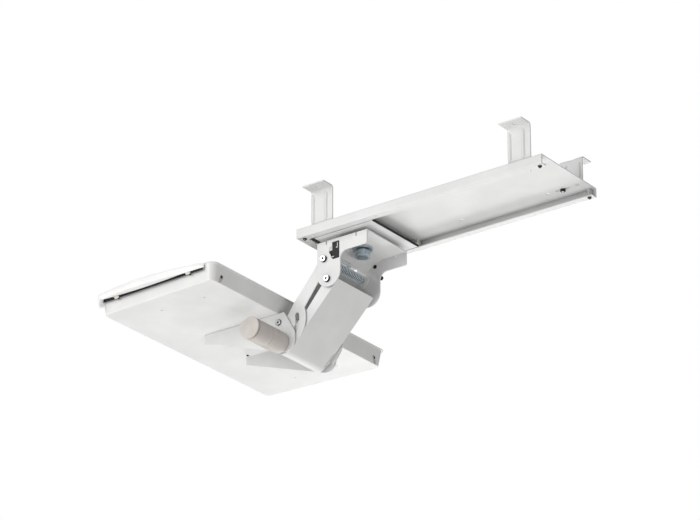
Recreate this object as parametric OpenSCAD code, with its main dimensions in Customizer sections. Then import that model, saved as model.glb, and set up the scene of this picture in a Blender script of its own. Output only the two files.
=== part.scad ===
// Under-desk keyboard tray on a sliding, swivelling and lifting arm.
// Origin: the middle of the four desk screws, on the underside of the desk.
// +X is the right hand of a person at the desk, +Y points to the back, +Z is up.

/* [Track] */
// Length of the sliding track
track_len = 533; // [480:1:640]
// Width of the track over its flanges
track_w = 176.5; // [150:0.5:190]
// Height of the track's side flanges
track_h = 19; // [17:0.5:24]
// Thickness of the track's steel
track_t = 2; // [1.5:0.1:2.5]
// Width of the lips under the flanges
lip_w = 15; // [12:0.5:18]
// Depth of the lip across the front end
front_lip = 17; // [10:0.5:19]
// Length of the slots that take the bracket screws
slot_len = 30; // [12:1:36]

/* [Desk brackets] */
// Distance from the desk down to the track
desk_drop = 69; // [50:1:110]
// Distance between the left and right desk screws
hole_spacing = 196; // [190:0.5:204]
// Front end of the track to the front desk screws
bracket_inset = 54.7; // [45:0.1:70]
// Rear end of the track to the rear desk screws
bracket_rear_inset = 48.3; // [40:0.1:60]
// Width of each bracket
bracket_w = 48.3; // [40:0.1:60]
// Thickness of the bracket's steel
bracket_t = 2.5; // [2:0.1:3.5]
// Distance between the outer faces of the two uprights
upright_gap = 169; // [150:0.5:176]
// Distance over the outer edges of the top flanges
flange_span = 224; // [216:0.5:240]
// Distance between the left and right track screws
foot_screw_gap = 108; // [100:0.5:124]
// Diameter of the desk screw holes
desk_hole_d = 6.5; // [4:0.1:8]

/* [Carriage and swivel] */
// Front end of the track to the swivel axis, with the tray pulled out
hub_from_front = 84.4; // [84:0.1:110]
// Swivel axis to the front edge of the carriage
carriage_front = 56.4; // [45:0.1:57]
// Swivel axis to the rear edge of the carriage
carriage_rear = 72.6; // [60:0.1:90]
// Thickness of the carriage's steel
carriage_t = 2.5; // [2:0.1:3]
// Diameter of the swivel bolt
swivel_d = 16; // [12:0.5:20]
// Diameter of the zinc flange under the head
flange_d = 37; // [32:0.5:44]
// Diameter of the nut under the flange
nut_d = 28; // [24:0.5:32]
// Height from the flange down to the end of the nut
nut_drop = 15; // [10:0.5:18]

/* [Head] */
// Width of the head over its side plates
head_w = 124.4; // [116:0.2:140]
// Thickness of the head's steel
head_t = 2.7; // [2:0.1:3.5]
// Gap between the track's lips and the head
head_gap = 7; // [5:0.5:12]
// Swivel axis to the front edge of the head
head_front = 56.9; // [54:0.1:62]
// Swivel axis to the rear edge of the head
head_rear = 54.6; // [48:0.1:64]
// Height of the rear part of the side plates
head_h = 28.5; // [26:0.5:32]
// Radius of the rounded lower end of the side plates
ear_r = 26; // [24:0.5:28]

/* [Arm] */
// Distance between the pivots of each link
arm_len = 145; // [140:1:165]
// Angle of the arm below level, in the pose shown
arm_angle = 44; // [36:1:50]
// Swivel axis forward to the lower head pivot
pivot_front = 33.4; // [30:0.1:36]
// Top of the track down to the lower head pivot
pivot_drop = 102.5; // [100:0.5:106]
// How far the upper pivots lie in front of the lower ones
link_lead = 7.5; // [4:0.5:10]
// How far the upper pivots lie above the lower ones
link_rise = 41; // [39:0.5:43]
// Width of the arm cover
cover_w = 109; // [104:0.5:110]
// Thickness of the arm cover's steel
cover_t = 2; // [1.5:0.1:2.2]
// Radius of the cover's wrap around the tray pivot
cover_wrap_r = 17.5; // [16:0.5:19]
// Thickness of each upper link
link_t = 2.5; // [2:0.1:2.8]
// Diameter of the pivot rods
rod_d = 8; // [6:0.5:9]

/* [Spring] */
// Outer diameter of the torsion spring
spring_d = 17; // [15.6:0.2:19]
// Diameter of the spring's wire
wire_d = 3.4; // [2.8:0.1:3.6]
// Number of curls
curls = 22; // [16:1:23]
// Distance from one curl to the next
spring_pitch = 4.6; // [4.3:0.05:4.7]

/* [Tray] */
// Depth of the tray from front to back
tray_depth = 276; // [250:1:300]
// Width of the tray at its rear rim
tray_rear_w = 525.6; // [480:0.2:600]
// Width of the tray at its front rim
tray_front_w = 503.4; // [470:0.2:580]
// Height of the tray
tray_h = 33.1; // [24:0.1:34]
// Thickness of the tray's steel
tray_t = 1.5; // [1.2:0.1:2]
// How far the walls lean in towards the bottom
wall_lean = 5; // [2:0.5:8]
// Width of the rim that turns outward
rim_w = 3; // [2:0.5:4]
// Radius of the tray's corners
corner_r = 16; // [12:1:24]
// Tray pivot up to the underside of the tray
tray_over_pivot = 60.6; // [60:0.2:64]
// Tray pivot back to the rear rim
rim_behind_pivot = 1.1; // [0:0.1:6]

/* [Tray bracket] */
// Width of the tray bracket over its ears
bracket_ear_w = 127; // [126:0.5:136]
// Thickness of the tray bracket's steel
bracket_ear_t = 2.5; // [2:0.1:2.5]
// Depth of the tray bracket's web in front of the pivot
web_front = 176.3; // [150:0.5:200]
// Depth of the web behind the pivot
web_rear = 6.7; // [4:0.1:8]

/* [Side rails] */
// Length of each side rail
rail_len = 250; // [200:1:252]
// How far each rail stands out past the rear rim
rail_w = 16.8; // [12:0.2:24]
// How far the rail's outer edge curves back at its ends
rail_bow = 16; // [10:0.5:18]
// Height of each side rail
rail_h = 12; // [9:0.5:14]

/* [Tilt knob] */
// Diameter of the knob
knob_d = 42; // [34:1:44]
// Length of the sleeve between the bracket and the knob
sleeve_len = 46.5; // [30:0.5:60]
// Length of the knob's grip
grip_len = 40; // [30:1:50]
// Thickness of the knob's end cap
cap_len = 4.4; // [3:0.1:6]

/* [Clearances] */
// Running gap around rods in their bushes
run_gap = 0.1; // [0.05:0.01:0.15]
// Gap between faces that slide past each other
face_gap = 0.3; // [0.25:0.05:0.4]
// Gap around screws in their holes
screw_gap = 0.3; // [0.2:0.05:0.5]

/* [Hidden] */
$fn = 48;

steel_white = "#e9e9e6";
zinc = "#8d9ba5";
bright = "#cfd2d4";
black = "#1c1c1e";
knob_beige = "#bab2aa";
nylon = "#dcdad2";

// Overshoot of every cut past the face that it opens
cut = 1;

// Heights and the places of the moving parts, in the rest pose
track_top = -desk_drop;
track_under = track_top - track_h;
bracket_pitch = track_len - bracket_inset - bracket_rear_inset;
track_front = -bracket_pitch / 2 - bracket_inset;
track_rear = track_front + track_len;
hub_y = track_front + hub_from_front;
head_top = track_under - head_gap;
lower_pivot = [hub_y - pivot_front, track_top - pivot_drop];
link_step = [-link_lead, link_rise];
upper_pivot = lower_pivot + link_step;
arm_dir = [cos(arm_angle), sin(arm_angle)];
tray_pivot = lower_pivot - arm_len * arm_dir;
upper_tray_pivot = tray_pivot + link_step;
link_r = norm(link_step);
tray_bottom = tray_pivot[1] + tray_over_pivot;
tray_rim = tray_bottom + tray_h;
tray_back = tray_pivot[0] + rim_behind_pivot;

// Layers from the middle of the arm outward
cover_out = cover_w / 2;
cover_in = cover_out - cover_t;
head_out = head_w / 2;
head_in = head_out - head_t;
link_out = head_in - 2 * face_gap;
link_in = link_out - link_t;
ear_out = bracket_ear_w / 2;
ear_in = ear_out - bracket_ear_t;
level_t = 2.5;
level_out = cover_in - 1.5;
level_in = level_out - level_t;

// Small hardware
screw_d = 5;
nut_h = 4;
nut_w = 10;
lip_head_d = 9;
lip_head_h = 2.2;
foot_head_d = 10;
foot_head_h = 2.6;
screw_tip = 1;
bolt_head_d = 13;
bolt_head_h = 4;
bolt_disc_h = 1.2;
bolt_taper = 3;
socket_d = 5;
socket_floor = 1.5;
bush_wall = 2.4;
recess_share = 0.42;

function arc(c, r, a0, a1, n = 12) =
    [for (i = [0:n]) let (a = a0 + (a1 - a0) * i / n) c + r * [cos(a), sin(a)]];
function box_points(w, d, r) = concat(
    arc([w / 2 - r, d / 2 - r], r, 0, 90, 6), arc([r - w / 2, d / 2 - r], r, 90, 180, 6),
    arc([r - w / 2, r - d / 2], r, 180, 270, 6), arc([w / 2 - r, r - d / 2], r, 270, 360, 6));

// A flat outline drawn in Y and Z, thickened along X from x0
module profile(x0, t) {
    translate([x0, 0, 0]) rotate([90, 0, 90]) linear_extrude(t) children();
}

// A round rod along X through a point given in Y and Z
module rod(p, d, x0, x1) {
    translate([x0, p[0], p[1]]) rotate([0, 90, 0]) cylinder(d = d, h = x1 - x0);
}

module both_sides() {
    children();
    mirror([1, 0, 0]) children();
}

// The arm's own frame: Y runs up the arm, with a pivot at its origin
module arm_frame(p) {
    translate([0, p[0], p[1]]) rotate([arm_angle, 0, 0]) children();
}

// A screw standing on +Z with its disc head on the face at z = 0
module disc_screw(shank_d, shank_len, disc_d, disc_h) {
    difference() {
        union() {
            translate([0, 0, -shank_len]) cylinder(d = shank_d, h = shank_len + disc_h / 2);
            cylinder(d = disc_d, h = disc_h);
        }
        translate([0, 0, disc_h * recess_share]) cylinder(d = disc_d * recess_share, h = disc_h, $fn = 6);
    }
}

// Track
foot_x = foot_screw_gap / 2;
bracket_rows = [-bracket_pitch / 2, bracket_pitch / 2];
slot_to_hole = 32;
end_hole = 17.9;
plate_hole_d = 7;
plate_holes = [track_len / 2, track_len - bracket_rear_inset - slot_to_hole, track_len - end_hole];
post_d = 8;
post_inset = 12.9;
post_rear_inset = 9;
post_x = track_w / 2 - post_rear_inset;
post_places = [for (x = [-post_x, post_x],
    y = [track_front + post_inset, track_rear - post_rear_inset])
    [x, y]];

module track_channel() {
    color(steel_white) difference() {
        translate([-track_w / 2, track_front, track_under]) cube([track_w, track_len, track_h]);
        translate([track_t - track_w / 2, track_front + track_t, track_under + track_t])
            cube([track_w - 2 * track_t, track_len, track_h - 2 * track_t]);
        translate([lip_w - track_w / 2, track_front + front_lip, track_under - cut])
            cube([track_w - 2 * lip_w, track_len, track_t + 2 * cut]);
        for (x = [-foot_x, foot_x]) {
            for (y = bracket_rows) slot_cut(x, y);
            for (y = plate_holes) translate([x, track_front + y, track_top - track_t - cut])
                cylinder(d = plate_hole_d, h = track_t + 2 * cut);
        }
        for (p = post_places) translate([p[0], p[1], track_under - cut])
            cylinder(d = screw_d + screw_gap, h = track_t + 2 * cut);
    }
}

module slot_cut(x, y) {
    slot_w = screw_d + 2 * screw_gap;
    run = (slot_len - slot_w) / 2;
    translate([x, y, track_top - track_t - cut]) {
        for (s = [-run, run]) translate([0, s, 0]) cylinder(d = slot_w, h = track_t + 2 * cut);
        translate([-slot_w / 2, -run, 0]) cube([slot_w, 2 * run, track_t + 2 * cut]);
    }
}

// Tubes between the lips and the top plate stop the carriage at both ends
module stop_posts() {
    color(zinc) for (p = post_places) translate([p[0], p[1], track_under + track_t])
        difference() {
            cylinder(d = post_d, h = track_h - 2 * track_t);
            translate([0, 0, -cut]) cylinder(d = screw_d + screw_gap, h = track_h);
        }
}

module stop_screws() {
    color(zinc) for (p = post_places) translate([p[0], p[1], track_under]) mirror([0, 0, 1])
        disc_screw(screw_d, track_h - track_t - screw_tip, lip_head_d, lip_head_h);
}

// Brackets
rib_r = 2.5;
rib_places = [-19.5, 9];
gusset_r = 9;
rib_end = 9;
foot_past = 10;

module drop_bracket(y) {
    face = upright_gap / 2;
    foot_end = foot_x - foot_past;
    color(steel_white) difference() {
        union() {
            translate([face - bracket_t, y - bracket_w / 2, track_top])
                cube([bracket_t, bracket_w, desk_drop]);
            translate([foot_end, y - bracket_w / 2, track_top])
                cube([face - foot_end, bracket_w, bracket_t]);
            translate([face - bracket_t, y - bracket_w / 2, -bracket_t])
                cube([flange_span / 2 - face + bracket_t, bracket_w, bracket_t]);
            for (s = rib_places) translate([face, y + s, track_top])
                cylinder(r = rib_r, h = desk_drop - rib_end);
            translate([face, y, -bracket_t]) intersection() {
                sphere(r = gusset_r);
                translate([-cut, -gusset_r, -gusset_r]) cube([gusset_r, 2 * gusset_r, gusset_r]);
            }
        }
        translate([hole_spacing / 2, y, -bracket_t - cut])
            cylinder(d = desk_hole_d, h = bracket_t + 2 * cut);
        translate([foot_x, y, track_top - cut])
            cylinder(d = screw_d + screw_gap, h = bracket_t + 2 * cut);
    }
}

module right_front_bracket() { drop_bracket(bracket_rows[0]); }
module left_front_bracket() { rotate([0, 0, 180]) drop_bracket(bracket_rows[1]); }
module right_rear_bracket() { drop_bracket(bracket_rows[1]); }
module left_rear_bracket() { rotate([0, 0, 180]) drop_bracket(bracket_rows[0]); }

module bracket_screws() {
    color(zinc) for (x = [-foot_x, foot_x], y = bracket_rows)
        translate([x, y, track_top + bracket_t])
            disc_screw(screw_d, bracket_t + track_t + nut_h + screw_tip, foot_head_d, foot_head_h);
}

module bracket_nuts() {
    color(zinc) for (x = [-foot_x, foot_x], y = bracket_rows)
        translate([x, y, track_top - track_t - nut_h]) difference() {
            cylinder(d = nut_w, h = nut_h, $fn = 6);
            translate([0, 0, -cut]) cylinder(d = screw_d + 2 * run_gap, h = nut_h + 2 * cut);
        }
}

// Carriage: a flat tray of steel between the lips, with wings that run above them
wing_gap = 4;
belly_gap = 2.6;
belly_proud = 0.5;
wing_z = track_under + track_t + wing_gap;
belly_half = track_w / 2 - lip_w - belly_gap;
wing_half = track_w / 2 - track_t - wing_gap;
carriage_under = track_under - belly_proud;
glide_len = 24;
glide_inset = 2;

module carriage_plate() {
    color(steel_white) difference() {
        union() {
            translate([-belly_half, hub_y - carriage_front, carriage_under])
                cube([2 * belly_half, carriage_front + carriage_rear, carriage_t]);
            both_sides() translate([belly_half - carriage_t, hub_y - carriage_front, carriage_under])
                cube([carriage_t, carriage_front + carriage_rear, wing_z + carriage_t - carriage_under]);
            both_sides() translate([belly_half - carriage_t, hub_y - carriage_front, wing_z])
                cube([wing_half - belly_half + carriage_t, carriage_front + carriage_rear, carriage_t]);
        }
        translate([0, hub_y, carriage_under - cut])
            cylinder(d = swivel_d + 2 * screw_gap, h = carriage_t + 2 * cut);
    }
}

// Shoes clipped round the edges of the wings carry the carriage on the lips
module carriage_glides() {
    shoe_bottom = track_under + track_t + face_gap;
    shoe_top = track_top - track_t - face_gap;
    shoe_in = belly_half + glide_inset;
    shoe_out = track_w / 2 - track_t - face_gap;
    color(nylon) both_sides()
        for (y = [hub_y - carriage_front + glide_inset,
            hub_y + carriage_rear - glide_len - glide_inset])
            difference() {
                translate([shoe_in, y, shoe_bottom])
                    cube([shoe_out - shoe_in, glide_len, shoe_top - shoe_bottom]);
                translate([shoe_in - cut, y - cut, wing_z])
                    cube([wing_half - shoe_in + cut, glide_len + 2 * cut, carriage_t]);
            }
}

// A dark strip along the rear edge of the carriage
wiper_t = 2.4;
wiper_rise = 1;
module rear_wiper() {
    color(black) translate([wiper_rise - belly_half, hub_y + carriage_rear, carriage_under])
        cube([2 * (belly_half - wiper_rise), wiper_t, carriage_t + wiper_rise]);
}

washer_d = 62;
module swivel_washer() {
    color(nylon) translate([0, hub_y, head_top + face_gap]) difference() {
        cylinder(d = washer_d, h = carriage_under - head_top - face_gap);
        translate([0, 0, -cut]) cylinder(d = swivel_d + 2 * screw_gap, h = 2 * head_gap);
    }
}

// The swivel bolt hangs in the carriage and holds the head from below
flange_top = head_top - head_t - face_gap;
flange_h = 3.2;
neck_h = 3.4;
neck_wall = 2.5;
nut_chamfer = 1.5;
swivel_head_d = swivel_d + 10;
swivel_head_h = 4;
swivel_tip = 1;
nut_end = flange_top - nut_drop - flange_h;

module swivel_bolt() {
    color(zinc) translate([0, hub_y, 0]) {
        translate([0, 0, carriage_under + carriage_t]) cylinder(d = swivel_head_d, h = swivel_head_h);
        translate([0, 0, nut_end - swivel_tip])
            cylinder(d = swivel_d, h = carriage_under + carriage_t - nut_end + 2 * swivel_tip);
    }
}

module hub_flange() {
    color(zinc) translate([0, hub_y, flange_top - flange_h]) difference() {
        cylinder(d = flange_d, h = flange_h);
        translate([0, 0, -cut]) cylinder(d = swivel_d + 2 * run_gap, h = flange_h + 2 * cut);
    }
}

module hub_nut() {
    body_h = nut_drop - neck_h;
    color(zinc) translate([0, hub_y, nut_end]) difference() {
        union() {
            cylinder(d1 = nut_d - 2 * nut_chamfer, d2 = nut_d, h = nut_chamfer);
            translate([0, 0, nut_chamfer]) cylinder(d = nut_d, h = body_h - nut_chamfer);
            cylinder(d = swivel_d + 2 * neck_wall, h = nut_drop);
        }
        translate([0, 0, -cut]) cylinder(d = swivel_d + 2 * run_gap, h = nut_drop + 2 * cut);
    }
}

// Head: a folded bracket with two side plates, a level top and a sloping front panel
ear_centre = lower_pivot + [2.5, 11.5];
head_low = head_top - head_h;
panel_run = 42;
panel_drop = 17.5;
panel_slope = atan(panel_drop / panel_run);
panel_edge = [hub_y - panel_run, head_top - panel_drop - head_t];
dish_w = 52;
dish_r = 12;
dish_t = 2;
inner_fillet = 15;
corner_fillet = 4;
notch_w = 2.5;
notch_deep = 8;
notches = [-36, 30.6];
spare_hole = [hub_y - 15.2, head_top - 14.1];
spare_hole_d = 6;
window = [for (p = [[-28.8, -19], [-28.8, -11], [-22.4, -11], [-22.4, 0], [-7, 0], [-7, -33.5],
    [-21.4, -33.5], [-25.2, -28.5], [-21, -24]]) [hub_y, head_top - 7] + p];

module side_outline() {
    right = ear_centre[0] + ear_r;
    polygon(concat(
        [[hub_y + head_rear, head_top], [hub_y - head_front, head_top]],
        arc(ear_centre, ear_r, 180, 360, 24),
        arc([right + inner_fillet, head_low - inner_fillet], inner_fillet, 180, 90),
        arc([hub_y + head_rear - corner_fillet, head_low + corner_fillet], corner_fillet, 270, 360)));
}

module dish_block(w, r) {
    translate([0, hub_y, head_low]) linear_extrude(head_h) polygon(box_points(w, w, r));
}

module head_bracket() {
    color(steel_white) difference() {
        union() {
            both_sides() profile(head_in, head_t) side_outline();
            translate([-head_in, hub_y - dish_w / 2 - dish_t, head_top - head_t])
                cube([2 * head_in, dish_w / 2 + dish_t + head_rear, head_t]);
            difference() {
                profile(-head_in, 2 * head_in) polygon([[hub_y, head_top],
                    panel_edge + [0, head_t], panel_edge, [hub_y, head_top - head_t]]);
                dish_block(dish_w, dish_r);
            }
            intersection() {
                difference() {
                    dish_block(dish_w + 2 * dish_t, dish_r + dish_t);
                    dish_block(dish_w, dish_r);
                }
                profile(-head_in, 2 * head_in) polygon([[hub_y, head_top],
                    [panel_edge[0], head_top], panel_edge, [hub_y, head_top - head_t]]);
            }
        }
        translate([0, hub_y, head_top - head_t - cut])
            cylinder(d = swivel_d + 2 * run_gap, h = head_t + 2 * cut);
        for (p = [upper_pivot, lower_pivot])
            rod(p, rod_d + 2 * run_gap, -head_out - cut, head_out + cut);
        for (y = notches, x = [-head_out - cut, head_in - cut])
            translate([x, hub_y + y - notch_w / 2, head_top - notch_deep])
                cube([head_t + 2 * cut, notch_w, notch_deep + cut]);
        profile(head_in - cut, head_t + 2 * cut) polygon(window);
        rod(spare_hole, spare_hole_d, -head_out - cut, -head_in + cut);
        rod(side_screw, screw_d + 2 * run_gap, -head_out - cut, -head_in + cut);
        for (x = bar_screws) translate([x, bar_y, panel_edge[1]])
            cylinder(d = bar_screw_d + 2 * run_gap, h = head_h);
    }
}

// The rods run from plate to plate, with a bolt in each end
bolt_depth = 13;
module pivot_rod(p) {
    color(zinc) difference() {
        rod(p, rod_d, -head_out, head_out);
        for (x = [-head_out - cut, head_out - bolt_depth])
            rod(p, screw_d + 2 * run_gap, x, x + bolt_depth + cut);
    }
}

module upper_pivot_rod() { pivot_rod(upper_pivot); }
module lower_pivot_rod() { pivot_rod(lower_pivot); }

module pivot_bolts() {
    color(bright) both_sides() for (p = [upper_pivot, lower_pivot])
        translate([head_out, p[0], p[1]]) rotate([0, 90, 0]) difference() {
            union() {
                translate([0, 0, screw_tip - bolt_depth]) cylinder(d = screw_d, h = bolt_depth);
                cylinder(d = bolt_head_d, h = bolt_disc_h);
                cylinder(d = bolt_head_d - bolt_taper, h = bolt_head_h);
            }
            translate([0, 0, socket_floor]) cylinder(d = socket_d, h = bolt_head_h, $fn = 6);
        }
}

// A torsion spring wound round the upper rod, one leg against the sloping panel
spring_r = (spring_d - wire_d) / 2;
curl_rings = 8;
wire_sides = 6;
spring_half = curls * spring_pitch / 2;
leg_start = arm_angle;
leg_end = panel_slope;
total_turn = 360 * curls - leg_start + leg_end;
ring_count = curls * curl_rings;
leg_root = upper_pivot + spring_r * [cos(leg_end), sin(leg_end)];
panel_gap = (leg_root - panel_edge) * [-sin(panel_slope), cos(panel_slope)];
long_leg = -panel_gap - face_gap;
short_leg = 2 * wire_d;

function ring(x, a, out, lean) = [for (k = [0:wire_sides - 1]) let (
    b = 360 * k / wire_sides,
    radial = spring_r + wire_d / 2 * cos(b),
    side = wire_d / 2 * sin(b))
    [x + side * cos(lean),
     upper_pivot[0] + radial * cos(a) - (out + side * sin(lean)) * sin(a),
     upper_pivot[1] + radial * sin(a) + (out + side * sin(lean)) * cos(a)]];

wire_lean = -atan(spring_pitch * curls * 360 / total_turn / (2 * PI * spring_r * curls));
spring_rings = concat(
    [ring(-spring_half, leg_start, -short_leg, 0)],
    [for (i = [0:ring_count]) ring(-spring_half + 2 * spring_half * i / ring_count,
        leg_start + total_turn * i / ring_count, 0, wire_lean)],
    [ring(spring_half, leg_end, long_leg, 0)]);
near_turn = curl_rings / 2;
spring_gap = min([for (i = [0:len(spring_rings) - 1 - near_turn])
    for (j = [i + near_turn:min(len(spring_rings) - 1, i + 2 * curl_rings)])
    for (p = spring_rings[i]) for (q = spring_rings[j]) norm(p - q)]);

module tube_mesh(rings) {
    n = len(rings[0]);
    last = len(rings) - 1;
    faces = concat(
        [[for (k = [n - 1:-1:0]) k]],
        [[for (k = [0:n - 1]) last * n + k]],
        [for (i = [0:last - 1], k = [0:n - 1])
            [i * n + k, i * n + (k + 1) % n, (i + 1) * n + k]],
        [for (i = [0:last - 1], k = [0:n - 1])
            [i * n + (k + 1) % n, (i + 1) * n + (k + 1) % n, (i + 1) * n + k]]);
    polyhedron([for (r = rings) each r], faces);
}

module torsion_spring() {
    echo(str("least gap of the spring to itself, in mm: ", spring_gap));
    color(zinc) tube_mesh(spring_rings);
}

sleeve_short = 2;
module spring_sleeve() {
    color(black) difference() {
        rod(upper_pivot, (spring_d - 2 * wire_d) * cos(180 / curl_rings) - face_gap,
            sleeve_short - spring_half, spring_half - sleeve_short);
        rod(upper_pivot, rod_d + 2 * run_gap, -spring_half, spring_half);
    }
}

// A flat bar screwed below the front edge of the panel holds the spring down
bar_w = 6;
bar_h = 3;
bar_gap = 1;
bar_left = -17;
bar_right = 46;
bar_screw_d = 3;
bar_head_d = 6;
bar_head_h = 1.8;
bar_screws = [bar_left + bar_w, bar_right - bar_w];
bar_y = panel_edge[0] + bar_w / 2 + face_gap;
bar_top = panel_edge[1] - bar_gap;

module spring_bar() {
    color(bright) difference() {
        union() {
            translate([bar_left, bar_y - bar_w / 2, bar_top - bar_h])
                cube([bar_right - bar_left, bar_w, bar_h]);
            for (x = bar_screws) translate([x, bar_y, bar_top - cut])
                cylinder(d = bar_head_d, h = bar_gap + cut);
        }
        for (x = bar_screws) translate([x, bar_y, bar_top - bar_h - cut])
            cylinder(d = bar_screw_d + 2 * run_gap, h = bar_h + bar_gap + 2 * cut);
    }
}

module spring_bar_screws() {
    color(bright) for (x = bar_screws) translate([x, bar_y, bar_top - bar_h]) mirror([0, 0, 1])
        disc_screw(bar_screw_d, bar_h + bar_gap + head_t, bar_head_d, bar_head_h);
}

// A plastic block fills a stepped window in the right side plate
block_gap = 0.2;
block_inset = 4;
block_proud = 1;
module stop_block() {
    block_low = window[5][1] + block_inset;
    block_top = window[3][1] - 2 * block_inset;
    color(black) {
        profile(head_in, head_t + block_proud) offset(delta = -block_gap) polygon(window);
        translate([head_in - block_proud, window[3][0] + block_inset, block_low])
            cube([2 * block_proud, window[4][0] - window[3][0] - 2 * block_inset,
                block_top - block_low]);
    }
}

side_screw_inset = 4;
side_screw_drop = 8;
side_head_d = 7;
side_head_h = 7;
side_screw = [ear_centre[0] + ear_r - side_screw_inset, head_low - side_screw_drop];
module side_plate_screw() {
    color(black) translate([-head_out, side_screw[0], side_screw[1]]) rotate([0, -90, 0])
        disc_screw(screw_d, head_t, side_head_d, side_head_h);
}

// A black plug closes the small hole in the left side plate
plug_head_d = 7.5;
plug_head_h = 1;
module hole_plug() {
    color(black) {
        rod(spare_hole, spare_hole_d - 2 * run_gap, -head_out, plug_head_h / 2 - head_in);
        rod(spare_hole, plug_head_d, -head_in, plug_head_h - head_in);
    }
}

// Arm cover: a folded channel that wraps under the tray pivot
cover_top = 12.2;
face_top = -13.9;
face_knee = [-98, -17.4];
boss_r = 12.4;
bush_d = rod_d + 2 * bush_wall;
collar_t = 1.5;
collar_d = bush_d + 2 * collar_t;
slit_w = 1.8;
slit = [32, 2];

module cover_outline() {
    polygon(concat([[cover_top, face_top]],
        arc([0, 0], boss_r, 0, 95), [[-17, 9.5], [-66, 4.6], [-112, 5]],
        arc([-arm_len, 0], cover_wrap_r, 50, 270, 24), [face_knee]));
}

module cover_hollow() {
    inner_r = cover_wrap_r - cover_t;
    polygon(concat([[cover_top + cut, face_top + cover_t],
        [cover_top + cut, 40], [-arm_len - cover_wrap_r - cut, 40],
        [-arm_len - cover_wrap_r - cut, 0]],
        arc([-arm_len, 0], inner_r, 180, 270), [face_knee + [0, cover_t]]));
}

module arm_cover() {
    color(steel_white) arm_frame(lower_pivot) difference() {
        profile(-cover_out, cover_w) cover_outline();
        profile(-cover_in, 2 * cover_in) cover_hollow();
        for (p = [[0, 0], [-arm_len, 0]]) rod(p, bush_d + 2 * run_gap, -cover_w, cover_w);
        both_sides() translate([cover_in - slit_w, slit[1] - arm_len, -2 * cover_wrap_r])
            cube([slit_w, slit[0] - slit[1], 2 * cover_wrap_r - 4]);
    }
}

module arm_bushes() {
    color(nylon) arm_frame(lower_pivot) both_sides() {
        bush([0, 0], cover_in, cover_out, cover_out, head_in - face_gap, run_gap);
        bush([-arm_len, 0], cover_in, cover_out, level_out + face_gap, cover_in, run_gap);
    }
}

// A bush from x0 to x1 with a wider collar from c0 to c1
module bush(p, x0, x1, c0, c1, gap) {
    difference() {
        union() {
            rod(p, bush_d, x0, x1);
            rod(p, collar_d, c0, c1);
        }
        rod(p, rod_d + 2 * gap, min(x0, c0) - cut, max(x1, c1) + cut);
    }
}

// Upper links: a strap that ends in a fan with an arc slot for the clamp bolt
strap_low = [-40.3, -17.6];
strap_high = [[-31.8, 6.8], [-86.6, 1.5], [-96.3, 1], [-115, -3], [-121, -4.6]];
fan_r = 60.5;
fan_low_r = 52;
fan_bend = 262;
slot_w = rod_d + 1;
lower_max = 16;
slot_spare = 5;
slot_run = 92;
pivot_angle = atan2(-link_step[1], -link_step[0]) - arm_angle;
slot_from = pivot_angle - lower_max - slot_spare;
slot_to = pivot_angle + slot_run;

module link_outline() {
    far = [-arm_len, 0];
    difference() {
        polygon(concat(
            arc([0, 0], boss_r, -110, 100, 20), strap_high,
            arc(far, boss_r, 50, 195), arc(far, fan_low_r, 205, fan_bend),
            arc(far, fan_r, fan_bend, 335), [strap_low]));
        polygon(concat(arc(far, link_r + slot_w / 2, slot_from, slot_to, 30),
            arc(far, link_r - slot_w / 2, slot_to, slot_from, 30)));
        for (a = [slot_from, slot_to]) translate(far + link_r * [cos(a), sin(a)])
            circle(d = slot_w);
    }
}

module upper_link() {
    color(steel_white) arm_frame(upper_pivot) difference() {
        profile(link_in, link_t) link_outline();
        for (p = [[0, 0], [-arm_len, 0]])
            rod(p, bush_d + 2 * run_gap, link_in - cut, link_out + cut);
    }
}

module right_upper_link() { upper_link(); }
module left_upper_link() { mirror([1, 0, 0]) upper_link(); }

// A folded web joins the two straps under their upper edges
web_near = [-16, 8];
web_edge = concat([web_near], [for (k = [0:2]) strap_high[k]]);
module link_web() {
    color(steel_white) arm_frame(upper_pivot) profile(-link_in, 2 * link_in)
        polygon(concat(web_edge, [for (k = [3:-1:0]) web_edge[k] - [0, link_t]]));
}

module link_bushes() {
    color(nylon) arm_frame(upper_pivot) both_sides() {
        bush([0, 0], link_in, link_out, link_in - collar_t, link_in, run_gap);
        bush([-arm_len, 0], link_in, link_out, link_in - collar_t, link_in, face_gap);
    }
}

// Level plates keep the tray at one angle while the arm swings
level_r = 11.5;
level_wide_r = 13;
module level_plate() {
    lean = atan2(link_step[1], link_step[0]);
    color(steel_white) difference() {
        profile(level_in, level_t) polygon(concat(
            arc(tray_pivot, level_wide_r, lean + 90, lean + 270, 20),
            arc(upper_tray_pivot, level_r, lean - 90, lean + 90, 20)));
        for (p = [tray_pivot, upper_tray_pivot])
            rod(p, rod_d + 2 * run_gap, level_in - cut, level_out + cut);
    }
}

module right_level_plate() { level_plate(); }
module left_level_plate() { mirror([1, 0, 0]) level_plate(); }

module level_rod() {
    color(zinc) rod(upper_tray_pivot, rod_d, 2 * face_gap - ear_in, ear_in - 2 * face_gap);
}

module level_spacer() {
    color(zinc) difference() {
        rod(tray_pivot, bush_d, -level_in, level_in);
        rod(tray_pivot, rod_d + 2 * run_gap, -level_out, level_out);
    }
}

// Tray bracket: a web under the tray with an ear on each side
ear_corner = tray_pivot + [12.2, 1.6];
ear_corner_r = 20;
ear_front_h = 18.1;
ear_rear = [[31.7, 17.1], [12.2, tray_over_pivot - 9.1]];
ear_screw_at = tray_pivot + [-4.3, 42.1];
web_screws = [[54, -167.8], [42, -24]];
web_screw_d = 3.5;
web_head_h = 2.5;
ear_head_d = 12;
ear_head_h = 3;
relief = [ear_in - link_in + collar_t, 17];

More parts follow.
